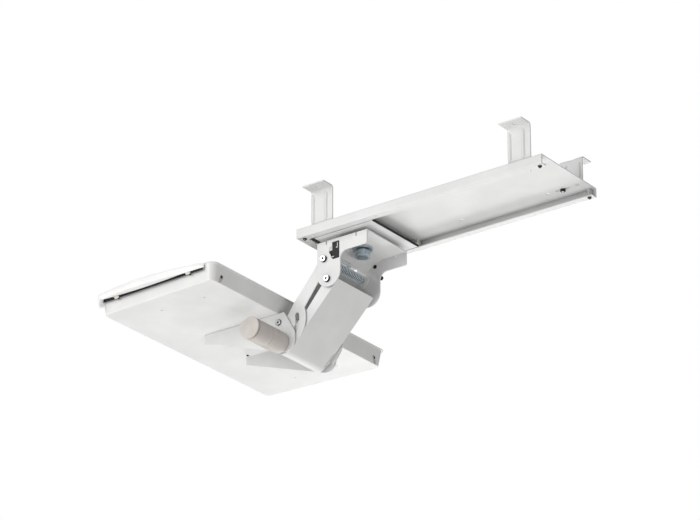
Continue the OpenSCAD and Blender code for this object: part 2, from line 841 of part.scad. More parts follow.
module ear_outline() {
    polygon(concat(
        [tray_pivot + [web_rear, tray_over_pivot], tray_pivot + [-web_front, tray_over_pivot],
         tray_pivot + [-web_front, tray_over_pivot - ear_front_h]],
        arc(ear_corner, ear_corner_r, 251.8, 360),
        [for (p = ear_rear) tray_pivot + p]));
}

module tray_bracket() {
    web = tray_bottom - bracket_ear_t;
    color(steel_white) difference() {
        union() {
            both_sides() profile(ear_in, bracket_ear_t) ear_outline();
            translate([-ear_in, tray_pivot[0] - web_front, web])
                cube([2 * ear_in, web_front + web_rear, bracket_ear_t]);
        }
        rod(tray_pivot, rod_d + 2 * run_gap, -ear_out - cut, ear_out + cut);
        rod(ear_screw_at, screw_d + 2 * run_gap, -ear_out - cut, ear_out + cut);
        both_sides() {
            translate([ear_in - relief[0], tray_pivot[0] + web_rear - relief[1], web - cut])
                cube([relief[0], relief[1] + cut, bracket_ear_t + 2 * cut]);
            for (p = web_screws) translate([p[0], tray_pivot[0] + p[1], web - cut])
                cylinder(d = web_screw_d + 2 * run_gap, h = bracket_ear_t + 2 * cut);
        }
    }
}

module ear_screws() {
    color(zinc) both_sides() translate([ear_out, ear_screw_at[0], ear_screw_at[1]])
        rotate([0, 90, 0]) disc_screw(screw_d, bracket_ear_t, ear_head_d, ear_head_h);
}

module bracket_fixings() {
    color(black) both_sides() for (p = web_screws)
        translate([p[0], tray_pivot[0] + p[1], tray_bottom - bracket_ear_t]) mirror([0, 0, 1])
            disc_screw(web_screw_d, bracket_ear_t + tray_t + screw_tip, lip_head_d, web_head_h);
}

// The clamp bolt is held in the left ear and carries the knob
sleeve_end = ear_out + sleeve_len;
grip_start = sleeve_end + face_gap;
grip_end = grip_start + grip_len;
shank_step = 1;
washer_t = 1.6;
clamp_washer_d = 17;
clamp_head_h = 4.9;
grip_floor = 5;

module clamp_bolt() {
    color(zinc) {
        rod(tray_pivot, rod_d, -ear_out - shank_step, grip_end - grip_floor - shank_step);
        rod(tray_pivot, clamp_washer_d, -ear_out - washer_t, -ear_out);
        rod(tray_pivot, bolt_head_d, -ear_out - washer_t - clamp_head_h, -ear_out - washer_t);
    }
}

// Tray pan
pan_slope = (tray_rear_w - tray_front_w) / 2 / tray_depth;
function pan_half(v) = tray_rear_w / 2 - pan_slope * v;
function pan_points(inset) = let (
    r = corner_r - inset / 2,
    rear = [pan_half(corner_r) - inset - r, -inset - r],
    front = [pan_half(tray_depth - corner_r) - inset - r, inset + r - tray_depth])
    concat(arc(rear, r, 0, 90, 8), arc([-rear[0], rear[1]], r, 90, 180, 8),
        arc([-front[0], front[1]], r, 180, 270, 8), arc(front, r, 270, 360, 8));

thin = 0.01;
module pan_block(top_inset, bottom_inset, z0, z1) {
    hull() {
        translate([0, tray_back, z1 - thin]) linear_extrude(thin) polygon(pan_points(top_inset));
        translate([0, tray_back, z0]) linear_extrude(thin) polygon(pan_points(bottom_inset));
    }
}

drain_hole_d = 3.5;
drain_holes = [for (x = [-199.5, 199.5], y = [-69.7, -167.9]) [x, y]];
rear_slot_x = 232;
rear_slot_w = 6;
rear_slot_run = 4;
rear_slot_rise = 7;
rear_slot_lean = 35;

module tray_pan() {
    foot_inset = rim_w + wall_lean;
    color(steel_white) difference() {
        union() {
            pan_block(rim_w, foot_inset, tray_bottom, tray_rim);
            translate([0, tray_back, tray_rim - tray_t]) linear_extrude(tray_t)
                polygon(pan_points(0));
        }
        pan_block(rim_w + tray_t, foot_inset + tray_t, tray_bottom + tray_t, tray_rim + cut);
        for (p = drain_holes) translate([p[0], tray_back + p[1], tray_bottom - cut])
            cylinder(d = drain_hole_d, h = tray_t + 2 * cut);
        both_sides() {
            for (p = web_screws) translate([p[0], tray_pivot[0] + p[1], tray_bottom - cut])
                cylinder(d = web_screw_d + 2 * run_gap, h = tray_t + 2 * cut);
            translate([rear_slot_x, tray_back + cut, tray_bottom + rear_slot_rise])
                rotate([90, rear_slot_lean, 0]) linear_extrude(foot_inset + 2 * tray_t) {
                    square([2 * rear_slot_run, rear_slot_w], center = true);
                    for (s = [-rear_slot_run, rear_slot_run]) translate([s, 0])
                        circle(d = rear_slot_w);
                }
        }
    }
}

// Side rails: bowed strips outside the rim, with tabs that reach the tray's wall
rail_start = 21.4;
rail_edge_gap = 0.2;
rail_round = 3;
rail_end = 5;
rail_mid = rail_start + rail_len / 2;
tab_w = 12;
tab_t = 2.5;
tab_bite = 0.8;
tab_drop = 1;
tabs = [57, 228];

function rail_out(v) = tray_rear_w / 2 + rail_w - rail_bow * pow((v - rail_mid) * 2 / rail_len, 2);
function rail_points(inset) = let (
    v0 = rail_start + inset,
    v1 = rail_start + rail_len - inset)
    concat([[pan_half(v0) + rail_edge_gap, -v0]],
        [for (i = [0:20]) let (v = v0 + rail_end + (v1 - v0 - 2 * rail_end) * i / 20)
            [rail_out(v) - inset, -v]],
        [[pan_half(v1) + rail_edge_gap, -v1]]);

module side_rail() {
    color(steel_white) translate([0, tray_back, tray_rim - rail_h]) {
        translate([0, 0, rail_round]) linear_extrude(rail_h - rail_round) polygon(rail_points(0));
        linear_extrude(rail_round) polygon(rail_points(rail_round));
        for (v = tabs) translate([pan_half(v) - rim_w - tab_bite, -v - tab_w / 2, -tab_drop])
            cube([rim_w + tab_bite + rail_round, tab_w, tab_t]);
    }
}

module right_side_rail() { side_rail(); }
module left_side_rail() { mirror([1, 0, 0]) side_rail(); }

// Tilt knob on the clamp bolt
shoulder = 2.5;
shoulder_step = 5;
cap_step = 1.5;
seam = 0.8;
module knob_sleeve() {
    color(knob_beige) difference() {
        union() {
            rod(tray_pivot, knob_d - 2 * shoulder_step, ear_out, sleeve_end);
            rod(tray_pivot, knob_d, ear_out + shoulder, sleeve_end);
        }
        rod(tray_pivot, rod_d + 2 * run_gap, ear_out - cut, sleeve_end + cut);
    }
}

module knob_grip() {
    color(knob_beige) difference() {
        rod(tray_pivot, knob_d, grip_start, grip_end);
        rod(tray_pivot, rod_d + 2 * run_gap, grip_start - cut, grip_end - grip_floor);
    }
}

module knob_cap() {
    color(knob_beige) {
        rod(tray_pivot, knob_d - 2 * cap_step, grip_end, grip_end + seam + cap_len / 2);
        rod(tray_pivot, knob_d, grip_end + seam, grip_end + seam + cap_len);
    }
}

track_channel();
right_front_bracket();
left_front_bracket();
right_rear_bracket();
left_rear_bracket();
bracket_screws();
bracket_nuts();
stop_posts();
stop_screws();
carriage_plate();
carriage_glides();
rear_wiper();
swivel_washer();
swivel_bolt();
hub_flange();
hub_nut();
head_bracket();
upper_pivot_rod();
lower_pivot_rod();
pivot_bolts();
torsion_spring();
spring_sleeve();
spring_bar();
spring_bar_screws();
stop_block();
side_plate_screw();
hole_plug();
arm_cover();
arm_bushes();
right_upper_link();
left_upper_link();
link_web();
link_bushes();
right_level_plate();
left_level_plate();
level_rod();
level_spacer();
tray_bracket();
ear_screws();
bracket_fixings();
clamp_bolt();
tray_pan();
right_side_rail();
left_side_rail();
knob_sleeve();
knob_grip();
knob_cap();
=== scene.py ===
import math

import bmesh
import bpy
import numpy as np
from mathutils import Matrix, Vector


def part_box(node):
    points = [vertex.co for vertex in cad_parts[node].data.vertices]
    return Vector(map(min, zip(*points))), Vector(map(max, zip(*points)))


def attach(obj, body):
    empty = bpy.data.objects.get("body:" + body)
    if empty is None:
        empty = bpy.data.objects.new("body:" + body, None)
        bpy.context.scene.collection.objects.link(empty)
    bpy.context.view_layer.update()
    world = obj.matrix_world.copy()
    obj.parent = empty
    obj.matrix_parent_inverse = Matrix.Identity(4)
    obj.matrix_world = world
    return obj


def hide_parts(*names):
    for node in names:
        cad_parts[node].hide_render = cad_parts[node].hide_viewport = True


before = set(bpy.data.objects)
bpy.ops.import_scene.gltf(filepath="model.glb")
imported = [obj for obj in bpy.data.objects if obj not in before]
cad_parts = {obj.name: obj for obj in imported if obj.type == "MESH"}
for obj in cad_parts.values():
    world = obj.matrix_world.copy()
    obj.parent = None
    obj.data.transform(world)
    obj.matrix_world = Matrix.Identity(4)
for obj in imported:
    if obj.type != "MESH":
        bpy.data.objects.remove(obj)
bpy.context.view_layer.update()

# The camera stands low behind the right of the desk and looks up at the tray's underside.
# Its place, direction and lens were worked out from the straight edges of the track and tray.
AZIMUTH = math.radians(126.43)
ELEVATION = math.radians(-24.22)
PHOTO_LENS = 181.11
backward = Vector((math.sin(AZIMUTH) * math.cos(ELEVATION),
                   -math.cos(AZIMUTH) * math.cos(ELEVATION), math.sin(ELEVATION)))
camera = bpy.data.objects.new("camera", bpy.data.cameras.new("camera"))
bpy.context.scene.collection.objects.link(camera)
camera.data.sensor_width = 36.0
camera.data.lens = PHOTO_LENS
camera.data.clip_end = 60.0
camera.location = (4.7054, 3.2591, -2.7438)
camera.rotation_mode = "QUATERNION"
camera.rotation_quaternion = (-backward).to_track_quat("-Z", "Y")
bpy.context.scene.camera = camera
bpy.context.scene.view_settings.view_transform = "Standard"

# The track is a channel of 2 mm steel, folded down at the sides and in again as lips.
# It is powder coated in a light grey white, as are all the other steel plates.
def srgb(code):
    """Turns a colour such as #e2e1de to linear red, green, blue and alpha."""
    parts = np.array([int(code[i:i + 2], 16) for i in (1, 3, 5)]) / 255
    linear = np.where(parts > 0.04045, ((parts + 0.055) / 1.055) ** 2.4, parts / 12.92)
    return (*linear.tolist(), 1.0)


def add(tree, kind, inputs=(), tones=()):
    """Adds a node, fills its inputs and, where it is a ramp, sets its tones."""
    made = tree.nodes.new(kind)
    for key, value in dict(inputs).items():
        if isinstance(value, bpy.types.NodeSocket):
            tree.links.new(value, made.inputs[key])
        else:
            made.inputs[key].default_value = value
    for stop, (place, code) in zip(made.color_ramp.elements if tones else (), tones):
        stop.position = place
        stop.color = srgb(code)
    return made


def new_finish(name, roughness, metallic=0.0):
    """An empty material with its shader set: returns it, its tree and its shader."""
    made = bpy.data.materials.new(name)
    made.use_nodes = True
    shader = made.node_tree.nodes["Principled BSDF"]
    shader.inputs["Roughness"].default_value = roughness
    shader.inputs["Metallic"].default_value = metallic
    return made, made.node_tree, shader


# Polyester powder coat: a soft satin white. The baked skin has a fine orange peel, drawn at
# 5 mm because the real 1 mm is too fine to show, and its tone drifts a little over 60 mm.
white_coat, tree, shader = new_finish("white_powder_coat", 0.42)
place = add(tree, "ShaderNodeTexCoord").outputs["Object"]
drift = add(tree, "ShaderNodeTexNoise", {"Vector": place, "Scale": 1 / 0.060, "Detail": 2.0})
tone = add(tree, "ShaderNodeValToRGB", {"Fac": drift.outputs["Fac"]},
           tones=((0.30, "#d6d6d5"), (0.70, "#dededd")))
peel = add(tree, "ShaderNodeTexNoise", {"Vector": place, "Scale": 1 / 0.005, "Detail": 3.0})
gloss = add(tree, "ShaderNodeMapRange",
            {"Value": peel.outputs["Fac"], "To Min": 0.34, "To Max": 0.50})
skin = add(tree, "ShaderNodeBump",
           {"Height": peel.outputs["Fac"], "Strength": 0.10, "Distance": 0.0004})
tree.links.new(tone.outputs["Color"], shader.inputs["Base Color"])
tree.links.new(gloss.outputs["Result"], shader.inputs["Roughness"])
tree.links.new(skin.outputs["Normal"], shader.inputs["Normal"])


def settle(piece, body, material, slot, *nodes):
    """Gives a piece its finish, its body and the CAD nodes that it stands for."""
    piece.data.materials.clear()
    piece.data.materials.append(material)
    piece.data.polygons.foreach_set("use_smooth", [True] * len(piece.data.polygons))
    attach(piece, body)
    if nodes:
        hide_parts(*nodes)
    return piece


sharp_angle, flat_angle, touching = 28.0, 0.3, 1e-5


def ease(piece, width, segments=2, angle=sharp_angle, weighted=False, slide=True):
    """Rounds a piece's sharp edges, by its edge weights where it has them."""
    rounding = piece.modifiers.new("eased_edges", "BEVEL")
    rounding.width = width
    rounding.segments = segments
    rounding.limit_method = "WEIGHT" if weighted else "ANGLE"
    rounding.angle_limit = math.radians(angle)
    rounding.use_clamp_overlap = False
    rounding.loop_slide = slide
    rounding.miter_outer = "MITER_ARC"
    shading = piece.modifiers.new("flat_faces", "WEIGHTED_NORMAL")
    shading.keep_sharp = False
    shading.weight = 100
    return piece


def pressed(name, node, body, material, slot, edge=0.0004, fold=0.0025, on_fold=None,
            segments=2, slide=True):
    """A copy of a solid with its triangles joined to flat faces and its edges eased. An edge
    that runs front to back, with both ends where on_fold holds, is a fold and gets the wider
    radius."""
    shape = bmesh.new()
    shape.from_mesh(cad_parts[node].data)
    bmesh.ops.remove_doubles(shape, verts=shape.verts, dist=1e-6)
    bmesh.ops.dissolve_limit(shape, angle_limit=math.radians(flat_angle), verts=shape.verts,
                             edges=shape.edges)
    mesh = bpy.data.meshes.new(name)
    shape.to_mesh(mesh)
    piece = bpy.data.objects.new(name, mesh)
    bpy.context.scene.collection.objects.link(piece)
    if on_fold is not None:
        points = np.empty(len(mesh.vertices) * 3)
        mesh.vertices.foreach_get("co", points)
        ends = np.empty(len(mesh.edges) * 2, int)
        mesh.edges.foreach_get("vertices", ends)
        points, ends = points.reshape(-1, 3), ends.reshape(-1, 2)
        run = points[ends[:, 1]] - points[ends[:, 0]]
        straight = np.abs(run[:, 1]) > 0.999 * np.linalg.norm(run, axis=1)
        held = straight & on_fold(points)[ends].all(1)
        turn = np.array([e.calc_face_angle(0.0) for e in shape.edges])
        weight = np.where(turn < math.radians(sharp_angle), 0.0, np.where(held, 1.0, edge / fold))
        mesh.attributes.new("bevel_weight_edge", "FLOAT", "EDGE").data.foreach_set(
            "value", weight.astype(np.float32))
    shape.free()
    ease(piece, fold if on_fold is not None else edge, segments, weighted=on_fold is not None,
         slide=slide)
    return settle(piece, body, material, slot, node)


track_low, track_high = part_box("track_channel")


def track_folds(p):
    """Points on the long folds: at the side flanges, and at the top or the lips."""
    side = np.abs(np.abs(p[:, 0]) - track_high.x) < touching
    top, lip = (np.abs(p[:, 2] - z) < touching for z in (track_high.z, track_low.z))
    return side & (top | lip)


pressed("track_channel_folded", "track_channel", "track", white_coat, "steel_white",
        edge=0.0003, fold=0.0022, on_fold=track_folds, segments=3)

# Near each corner of the track a screw goes up through the lip: a black head and a black tip,
# with a bright band between them and a bright shaft. The bright band is a painted highlight on
# the head's dark dome. The tube round it is the post that stops the carriage.

# Black polyamide: charcoal with a dull sheen, rubbed a little greyer in 6 mm patches.
black_moulding, tree, shader = new_finish("black_moulding", 0.5)
place = add(tree, "ShaderNodeTexCoord").outputs["Object"]
rub = add(tree, "ShaderNodeTexNoise", {"Vector": place, "Scale": 1 / 0.006, "Detail": 4.0})
tone = add(tree, "ShaderNodeValToRGB", {"Fac": rub.outputs["Fac"]},
           tones=((0.35, "#0c0c0d"), (0.8, "#1f1f21")))
gloss = add(tree, "ShaderNodeMapRange",
            {"Value": rub.outputs["Fac"], "To Min": 0.36, "To Max": 0.60})
grain = add(tree, "ShaderNodeTexVoronoi", {"Vector": place, "Scale": 1 / 0.0012})
skin = add(tree, "ShaderNodeBump",
           {"Height": grain.outputs["Distance"], "Strength": 0.15, "Distance": 0.0002})
tree.links.new(tone.outputs["Color"], shader.inputs["Base Color"])
tree.links.new(gloss.outputs["Result"], shader.inputs["Roughness"])
tree.links.new(skin.outputs["Normal"], shader.inputs["Normal"])
shader.inputs["Specular IOR Level"].default_value = 0.3

# Nickel plate on screws and bolts: a bright neutral metal, hazed a little in 4 mm patches.
bright_nickel, tree, shader = new_finish("bright_nickel", 0.2, 1.0)
place = add(tree, "ShaderNodeTexCoord").outputs["Object"]
haze = add(tree, "ShaderNodeTexNoise", {"Vector": place, "Scale": 1 / 0.004, "Detail": 3.0})
tone = add(tree, "ShaderNodeValToRGB", {"Fac": haze.outputs["Fac"]},
           tones=((0.3, "#c3c6c8"), (0.7, "#dfe1e2")))
gloss = add(tree, "ShaderNodeMapRange",
            {"Value": haze.outputs["Fac"], "To Min": 0.12, "To Max": 0.30})
skin = add(tree, "ShaderNodeBump",
           {"Height": haze.outputs["Fac"], "Strength": 0.05, "Distance": 0.0002})
tree.links.new(tone.outputs["Color"], shader.inputs["Base Color"])
tree.links.new(gloss.outputs["Result"], shader.inputs["Roughness"])
tree.links.new(skin.outputs["Normal"], shader.inputs["Normal"])


def paint(material, *nodes):
    """Gives CAD nodes that keep their own shape a better finish."""
    for node in nodes:
        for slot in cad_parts[node].material_slots:
            slot.material = material


def surface(name, rows, around=False, ends=False):
    """A mesh with its points in rows[i, j], where each four neighbours make a face. around
    joins the last column to the first, and ends closes the first and the last row."""
    count, width = rows.shape[:2]
    index = np.arange(count * width).reshape(count, width)
    if around:
        index = np.hstack((index, index[:, :1]))
    faces = np.stack((index[:-1, :-1], index[1:, :-1], index[1:, 1:], index[:-1, 1:]), -1)
    faces = faces.reshape(-1, 4).tolist()
    if ends:
        faces += [index[0, :width].tolist(), index[-1, :width].tolist()]
    mesh = bpy.data.meshes.new(name)
    mesh.from_pydata(rows.reshape(-1, 3).tolist(), [], faces)
    shape = bmesh.new()
    shape.from_mesh(mesh)
    bmesh.ops.remove_doubles(shape, verts=shape.verts, dist=1e-7)
    bmesh.ops.recalc_face_normals(shape, faces=shape.faces)
    shape.to_mesh(mesh)
    shape.free()
    piece = bpy.data.objects.new(name, mesh)
    bpy.context.scene.collection.objects.link(piece)
    return piece


def bent(corners, radius, parts=8):
    """A line through corners, given in two coordinates, with each inner corner rounded: an
    arc that leaves and meets the straight lines at the same distance from the corner."""
    corners = [np.array(c, float) for c in corners]
    line = [corners[0][None]]
    for before, corner, after in zip(corners, corners[1:], corners[2:]):
        back = (before - corner) / np.linalg.norm(before - corner)
        on = (after - corner) / np.linalg.norm(after - corner)
        half = math.acos(float(np.clip(back @ on, -1, 1))) / 2
        middle = corner + (back + on) / np.linalg.norm(back + on) * radius / math.sin(half)
        start = corner + back * radius / math.tan(half) - middle
        end = corner + on * radius / math.tan(half) - middle
        t = np.linspace(0, 1, parts + 1)[:, None]
        sweep = math.pi - 2 * half
        line.append(middle + (np.sin((1 - t) * sweep) * start + np.sin(t * sweep) * end)
                    / math.sin(sweep))
    line.append(corners[-1][None])
    return np.concatenate(line)


def turned(name, middle, profile, upright=True, steps=64):
    """A profile of radius and distance along the axis, carried round it. The axis is Z where
    upright, and X otherwise."""
    profile = np.array(profile, float)
    angle = np.linspace(0, 2 * np.pi, steps + 1)[:-1]
    radius, along = profile[:, :1], np.broadcast_to(profile[:, 1:], (len(profile), steps))
    one, other = radius * np.cos(angle), radius * np.sin(angle)
    parts = (one, other, along) if upright else (along, one, other)
    return surface(name, np.stack(parts, -1) + np.array(middle), around=True)


def joined(name, pieces):
    """Several pieces as one."""
    shape = bmesh.new()
    for piece in pieces:
        shape.from_mesh(piece.data)
        bpy.data.objects.remove(piece)
    mesh = bpy.data.meshes.new(name)
    shape.to_mesh(mesh)
    shape.free()
    piece = bpy.data.objects.new(name, mesh)
    bpy.context.scene.collection.objects.link(piece)
    return piece


stop_low, stop_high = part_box("stop_screws")
cad_head_r = 0.0045
shaft_r, highlight_band_r, head_r, head_foot_r, tip_r, tip_foot_r = (0.0025, 0.0017, 0.0040, 0.0036,
                                                            0.0026, 0.0016)
head_foot = stop_low.z + 0.0006
highlight_band_foot, tip_foot = head_foot - 0.0007, head_foot - 0.0020
# The shaft's bright band below the black head is the painted highlight.
shaft = bent([(0.0, stop_high.z), (shaft_r, stop_high.z), (shaft_r, track_low.z),
              (highlight_band_r, track_low.z), (highlight_band_r, highlight_band_foot), (0.0, highlight_band_foot)], 0.0003)
head = bent([(highlight_band_r, track_low.z), (head_r, track_low.z), (head_foot_r, head_foot),
             (highlight_band_r, head_foot)], 0.0004)
tip = bent([(0.0, highlight_band_foot), (tip_r, highlight_band_foot), (tip_foot_r, tip_foot), (0.0, tip_foot)],
           0.0003)
shafts, heads = [], []
for x in (stop_low.x + cad_head_r, stop_high.x - cad_head_r):
    for y in (stop_low.y + cad_head_r, stop_high.y - cad_head_r):
        shafts.append(turned("part", (x, y, 0.0), shaft, steps=32))
        heads.append(turned("part", (x, y, 0.0), tip, steps=32))
        heads.append(turned("part", (x, y, 0.0), np.vstack((head, head[:1])), steps=32))
settle(joined("stop_screws_plated", shafts), "track", bright_nickel, "zinc", "stop_screws")
settle(joined("stop_screws_plated_heads", heads), "track", black_moulding, "black_plastic")
paint(bright_nickel, "stop_posts")

# Four drop brackets carry the track: strips of 2.5 mm steel, folded in over the track and out
# under the desk. Two ribs and a gusset in the upper fold are pressed into each for stiffness.
# Bright screws with black nuts fasten them on the track.
def finished(piece):
    """Turns what a piece's modifiers make into its own mesh."""
    seen_by = bpy.context.evaluated_depsgraph_get()
    seen_by.update()
    mesh = bpy.data.meshes.new_from_object(piece.evaluated_get(seen_by))
    piece.modifiers.clear()
    piece.data = mesh
    return piece


def drilled(piece, holes):
    """Cuts holes through a piece. Each is its middle, its direction, its radius, its half
    depth and half of its straight run, which is zero where it is round: a circle whose two
    halves are moved apart by the run, carried along the direction."""
    rims = []
    for middle, along, radius, half, run in holes:
        along, run = Vector(along).normalized(), Vector(run)
        side = run.normalized() if run.length > 0 else along.orthogonal().normalized()
        other = along.cross(side)
        turn = np.linspace(0, 2 * np.pi, 33)[:-1, None]
        rim = (np.array(middle) + radius * (np.cos(turn) * side + np.sin(turn) * other)
               + np.where(np.cos(turn) > 0, 1, -1) * np.array(run))
        rims.append(surface("cutter", np.stack([rim - half * np.array(along),
                                                rim + half * np.array(along)]), True, True))
    for cutter in rims:
        cut = piece.modifiers.new("hole", "BOOLEAN")
        cut.object = cutter
        cut.solver = "EXACT"
    finished(piece)
    for cutter in rims:
        bpy.data.objects.remove(cutter)
    return piece


def evened(line, step):
    """Points at equal distances along a line."""
    run = np.concatenate(([0], np.cumsum(np.linalg.norm(np.diff(line, axis=0), axis=1))))
    places = np.linspace(0, run[-1], int(round(run[-1] / step)) + 1)
    return np.stack([np.interp(places, run, line[:, i]) for i in range(line.shape[1])], 1)


strip_t, strip_fold, strip_step, strip_columns, cut_r = 0.0025, 0.0038, 0.0009, 65, 0.0002
upright_inset = 0.0275
rib_places, rib_half, rib_height = (-0.0195, 0.009), 0.0022, 0.0023
rib_foot, rib_foot_fade, rib_top, rib_top_fade, upright_band = 0.004, 0.003, 0.009, 0.004, 0.0004
gusset_half, gusset_height, gusset_reach, gusset_share = 0.0085, 0.0009, 0.009, 0.7
desk_hole_x, desk_hole_r, desk_hole_half = 0.098, 0.00325, 0.01


def drop_bracket(name, node, side):
    """The strip's middle line in X and Z is carried along Y. Each rib is a rounded wave across
    Y that fades out at both ends of the upright, and the gusset is a bell round the middle of
    the upper fold, pushed towards its inner corner."""
    low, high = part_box(node)
    outer = side * (high.x if side > 0 else low.x)
    inner = side * (low.x if side > 0 else high.x)
    upright = outer - upright_inset - strip_t / 2
    line = bent([(inner, low.z + strip_t / 2), (upright, low.z + strip_t / 2),
                 (upright, high.z - strip_t / 2), (outer, high.z - strip_t / 2)], strip_fold)
    line = evened(line, strip_step)
    across = np.linspace(low.y + cut_r, high.y - cut_r, strip_columns)
    off = side * (across - (low.y + high.y) / 2)
    z = line[:, 1][:, None]
    near = np.abs(line[:, 0][:, None] - upright) < upright_band
    fade = (np.clip((z - low.z - rib_foot) / rib_foot_fade, 0, 1)
            * np.clip((high.z - rib_top - z) / rib_top_fade, 0, 1))
    wave = sum(np.exp(-(((off - place) / rib_half) ** 4))[None] for place in rib_places)
    rise = rib_height * wave * fade * near
    fold = np.hypot(line[:, 0] - upright, line[:, 1] - high.z + strip_t / 2)[:, None]
    bell = (gusset_height * np.exp(-(fold / gusset_reach) ** 2)
            * np.exp(-(off[None] / gusset_half) ** 2))
    push = gusset_share * bell
    rows = np.stack([side * (line[:, 0][:, None] + rise + push),
                     np.broadcast_to(across, rise.shape), z - push + 0 * rise], -1)
    piece = surface(name, rows)
    wall = piece.modifiers.new("sheet", "SOLIDIFY")
    wall.thickness = strip_t
    wall.offset = 0.0
    finished(piece)
    drilled(piece, [((side * desk_hole_x, (low.y + high.y) / 2, high.z), (0, 0, 1),
                     desk_hole_r, desk_hole_half, (0, 0, 0))])
    ease(piece, 0.0004, angle=50)
    return settle(piece, "track", white_coat, "steel_white", node)


for end in ("front", "rear"):
    for hand, side in (("right", 1), ("left", -1)):
        drop_bracket(f"{hand}_{end}_strip", f"{hand}_{end}_bracket", side)
pressed("bracket_screws_plated", "bracket_screws", "track", bright_nickel, "zinc", edge=0.0005)
paint(black_moulding, "bracket_nuts")

# The carriage is a flat belly of sheet steel between the lips, with wings that run above them.
# Moulded shoes clip round the wings, and a black strip wipes the track behind it.
plate_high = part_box("carriage_plate")[1]
wing_rim = 0.004


def carriage_folds(p):
    """Points on the long folds between the belly, its walls and the wings."""
    return np.abs(p[:, 0]) < plate_high.x - wing_rim


pressed("carriage_folded", "carriage_plate", "carriage", white_coat, "steel_white",
        edge=0.0003, fold=0.0012, on_fold=carriage_folds)

# Natural nylon: a milky, waxy white that lets a little light in. The mould's fine spark grain
# is drawn at 2 mm.
milky_nylon, tree, shader = new_finish("milky_nylon", 0.46)
place = add(tree, "ShaderNodeTexCoord").outputs["Object"]
cloud = add(tree, "ShaderNodeTexNoise", {"Vector": place, "Scale": 1 / 0.012, "Detail": 2.0})
tone = add(tree, "ShaderNodeValToRGB", {"Fac": cloud.outputs["Fac"]},
           tones=((0.3, "#cbc9c1"), (0.7, "#dad8d1")))
grain = add(tree, "ShaderNodeTexNoise", {"Vector": place, "Scale": 1 / 0.002, "Detail": 3.0})
skin = add(tree, "ShaderNodeBump",
           {"Height": grain.outputs["Fac"], "Strength": 0.10, "Distance": 0.0002})
tree.links.new(tone.outputs["Color"], shader.inputs["Base Color"])
tree.links.new(skin.outputs["Normal"], shader.inputs["Normal"])
shader.inputs["Subsurface Weight"].default_value = 0.08
shader.inputs["Subsurface Radius"].default_value = (0.002, 0.002, 0.002)

pressed("glides_moulded", "carriage_glides", "carriage", milky_nylon, "nylon", edge=0.0006)
pressed("wiper_moulded", "rear_wiper", "carriage", black_moulding, "black_plastic", edge=0.0005)
paint(milky_nylon, "swivel_washer", "arm_bushes", "link_bushes")

# The swivel's flange and nut are turned from steel and zinc plated. A groove parts them, and
# the bolt's end shows in the middle of the nut.

# Bright zinc plate on screws, tubes and rods: cool grey metal with faint darker blooms 8 mm
# wide where the bath left the passivation thicker, and a drawn grain under it.
zinc_plate, tree, shader = new_finish("zinc_plate", 0.34, 0.8)
place = add(tree, "ShaderNodeTexCoord").outputs["Object"]
bloom = add(tree, "ShaderNodeTexNoise", {"Vector": place, "Scale": 1 / 0.008, "Detail": 3.0})
tone = add(tree, "ShaderNodeValToRGB", {"Fac": bloom.outputs["Fac"]},
           tones=((0.25, "#9fadb6"), (0.75, "#c6d1d8")))
grain = add(tree, "ShaderNodeTexNoise", {"Vector": place, "Scale": 1 / 0.0012, "Detail": 2.0})
gloss = add(tree, "ShaderNodeMapRange",
            {"Value": bloom.outputs["Fac"], "To Min": 0.26, "To Max": 0.44})
skin = add(tree, "ShaderNodeBump",
           {"Height": grain.outputs["Fac"], "Strength": 0.12, "Distance": 0.0002})
tree.links.new(tone.outputs["Color"], shader.inputs["Base Color"])
tree.links.new(gloss.outputs["Result"], shader.inputs["Roughness"])
tree.links.new(skin.outputs["Normal"], shader.inputs["Normal"])

hub_low, hub_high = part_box("hub_nut")
flange_low, flange_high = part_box("hub_flange")
hub_x, hub_y = (hub_low.x + hub_high.x) / 2, (hub_low.y + hub_high.y) / 2
middle = (hub_x, hub_y, 0.0)
bore, mouth_r, mouth_depth = 0.0081, 0.0094, 0.0012
flange_r = flange_high.x - hub_x
ring = bent([(bore, flange_high.z), (flange_r, flange_high.z), (flange_r, flange_low.z),
             (bore, flange_low.z)], 0.0007)
settle(turned("hub_flange_turned", middle, np.vstack((ring, ring[:1]))), "head", zinc_plate,
       "zinc", "hub_flange")

nut_r = hub_high.x - hub_x
neck_r, neck_low = 0.0105, hub_high.z - 0.0034
end_w, end_h = 0.004, 0.0012
cap = bent([(bore, hub_high.z), (neck_r, hub_high.z), (neck_r, neck_low), (nut_r, neck_low),
            (nut_r, hub_low.z + end_h), (nut_r - end_w, hub_low.z), (mouth_r, hub_low.z),
            (mouth_r, hub_low.z + mouth_depth), (bore, hub_low.z + mouth_depth)], 0.0005)
nut = turned("hub_nut_turned", middle, np.vstack((cap, cap[:1])))
hole_r, hole_half, hole_z = 0.0012, 0.002, hub_low.z + 0.0062
spanner_holes = [((hub_x + nut_r * math.cos(a), hub_y + nut_r * math.sin(a), hole_z),
                  (math.cos(a), math.sin(a), 0), hole_r, hole_half, (0, 0, 0))
                 for a in np.radians(np.arange(8) * 45.0 + 15.0)]
drilled(nut, spanner_holes)
ease(nut, 0.0002, angle=50)
settle(nut, "head", zinc_plate, "zinc", "hub_nut")
paint(zinc_plate, "swivel_bolt")

# The head is one folded plate: a level top, two side plates with rounded ears, and a front
# panel that slopes down round a pressed dish. Its folds have a larger radius than its edges.
head_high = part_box("head_bracket")[1]


def head_folds(p):
    """Points on the upper edges of the side plates."""
    side = np.abs(p[:, 0]) > head_high.x - touching
    return side & (np.abs(p[:, 2] - head_high.z) < touching)


pressed("head_folded", "head_bracket", "head", white_coat, "steel_white",
        edge=0.0005, fold=0.0026, on_fold=head_folds, segments=3, slide=False)
paint(zinc_plate, "upper_pivot_rod", "lower_pivot_rod")
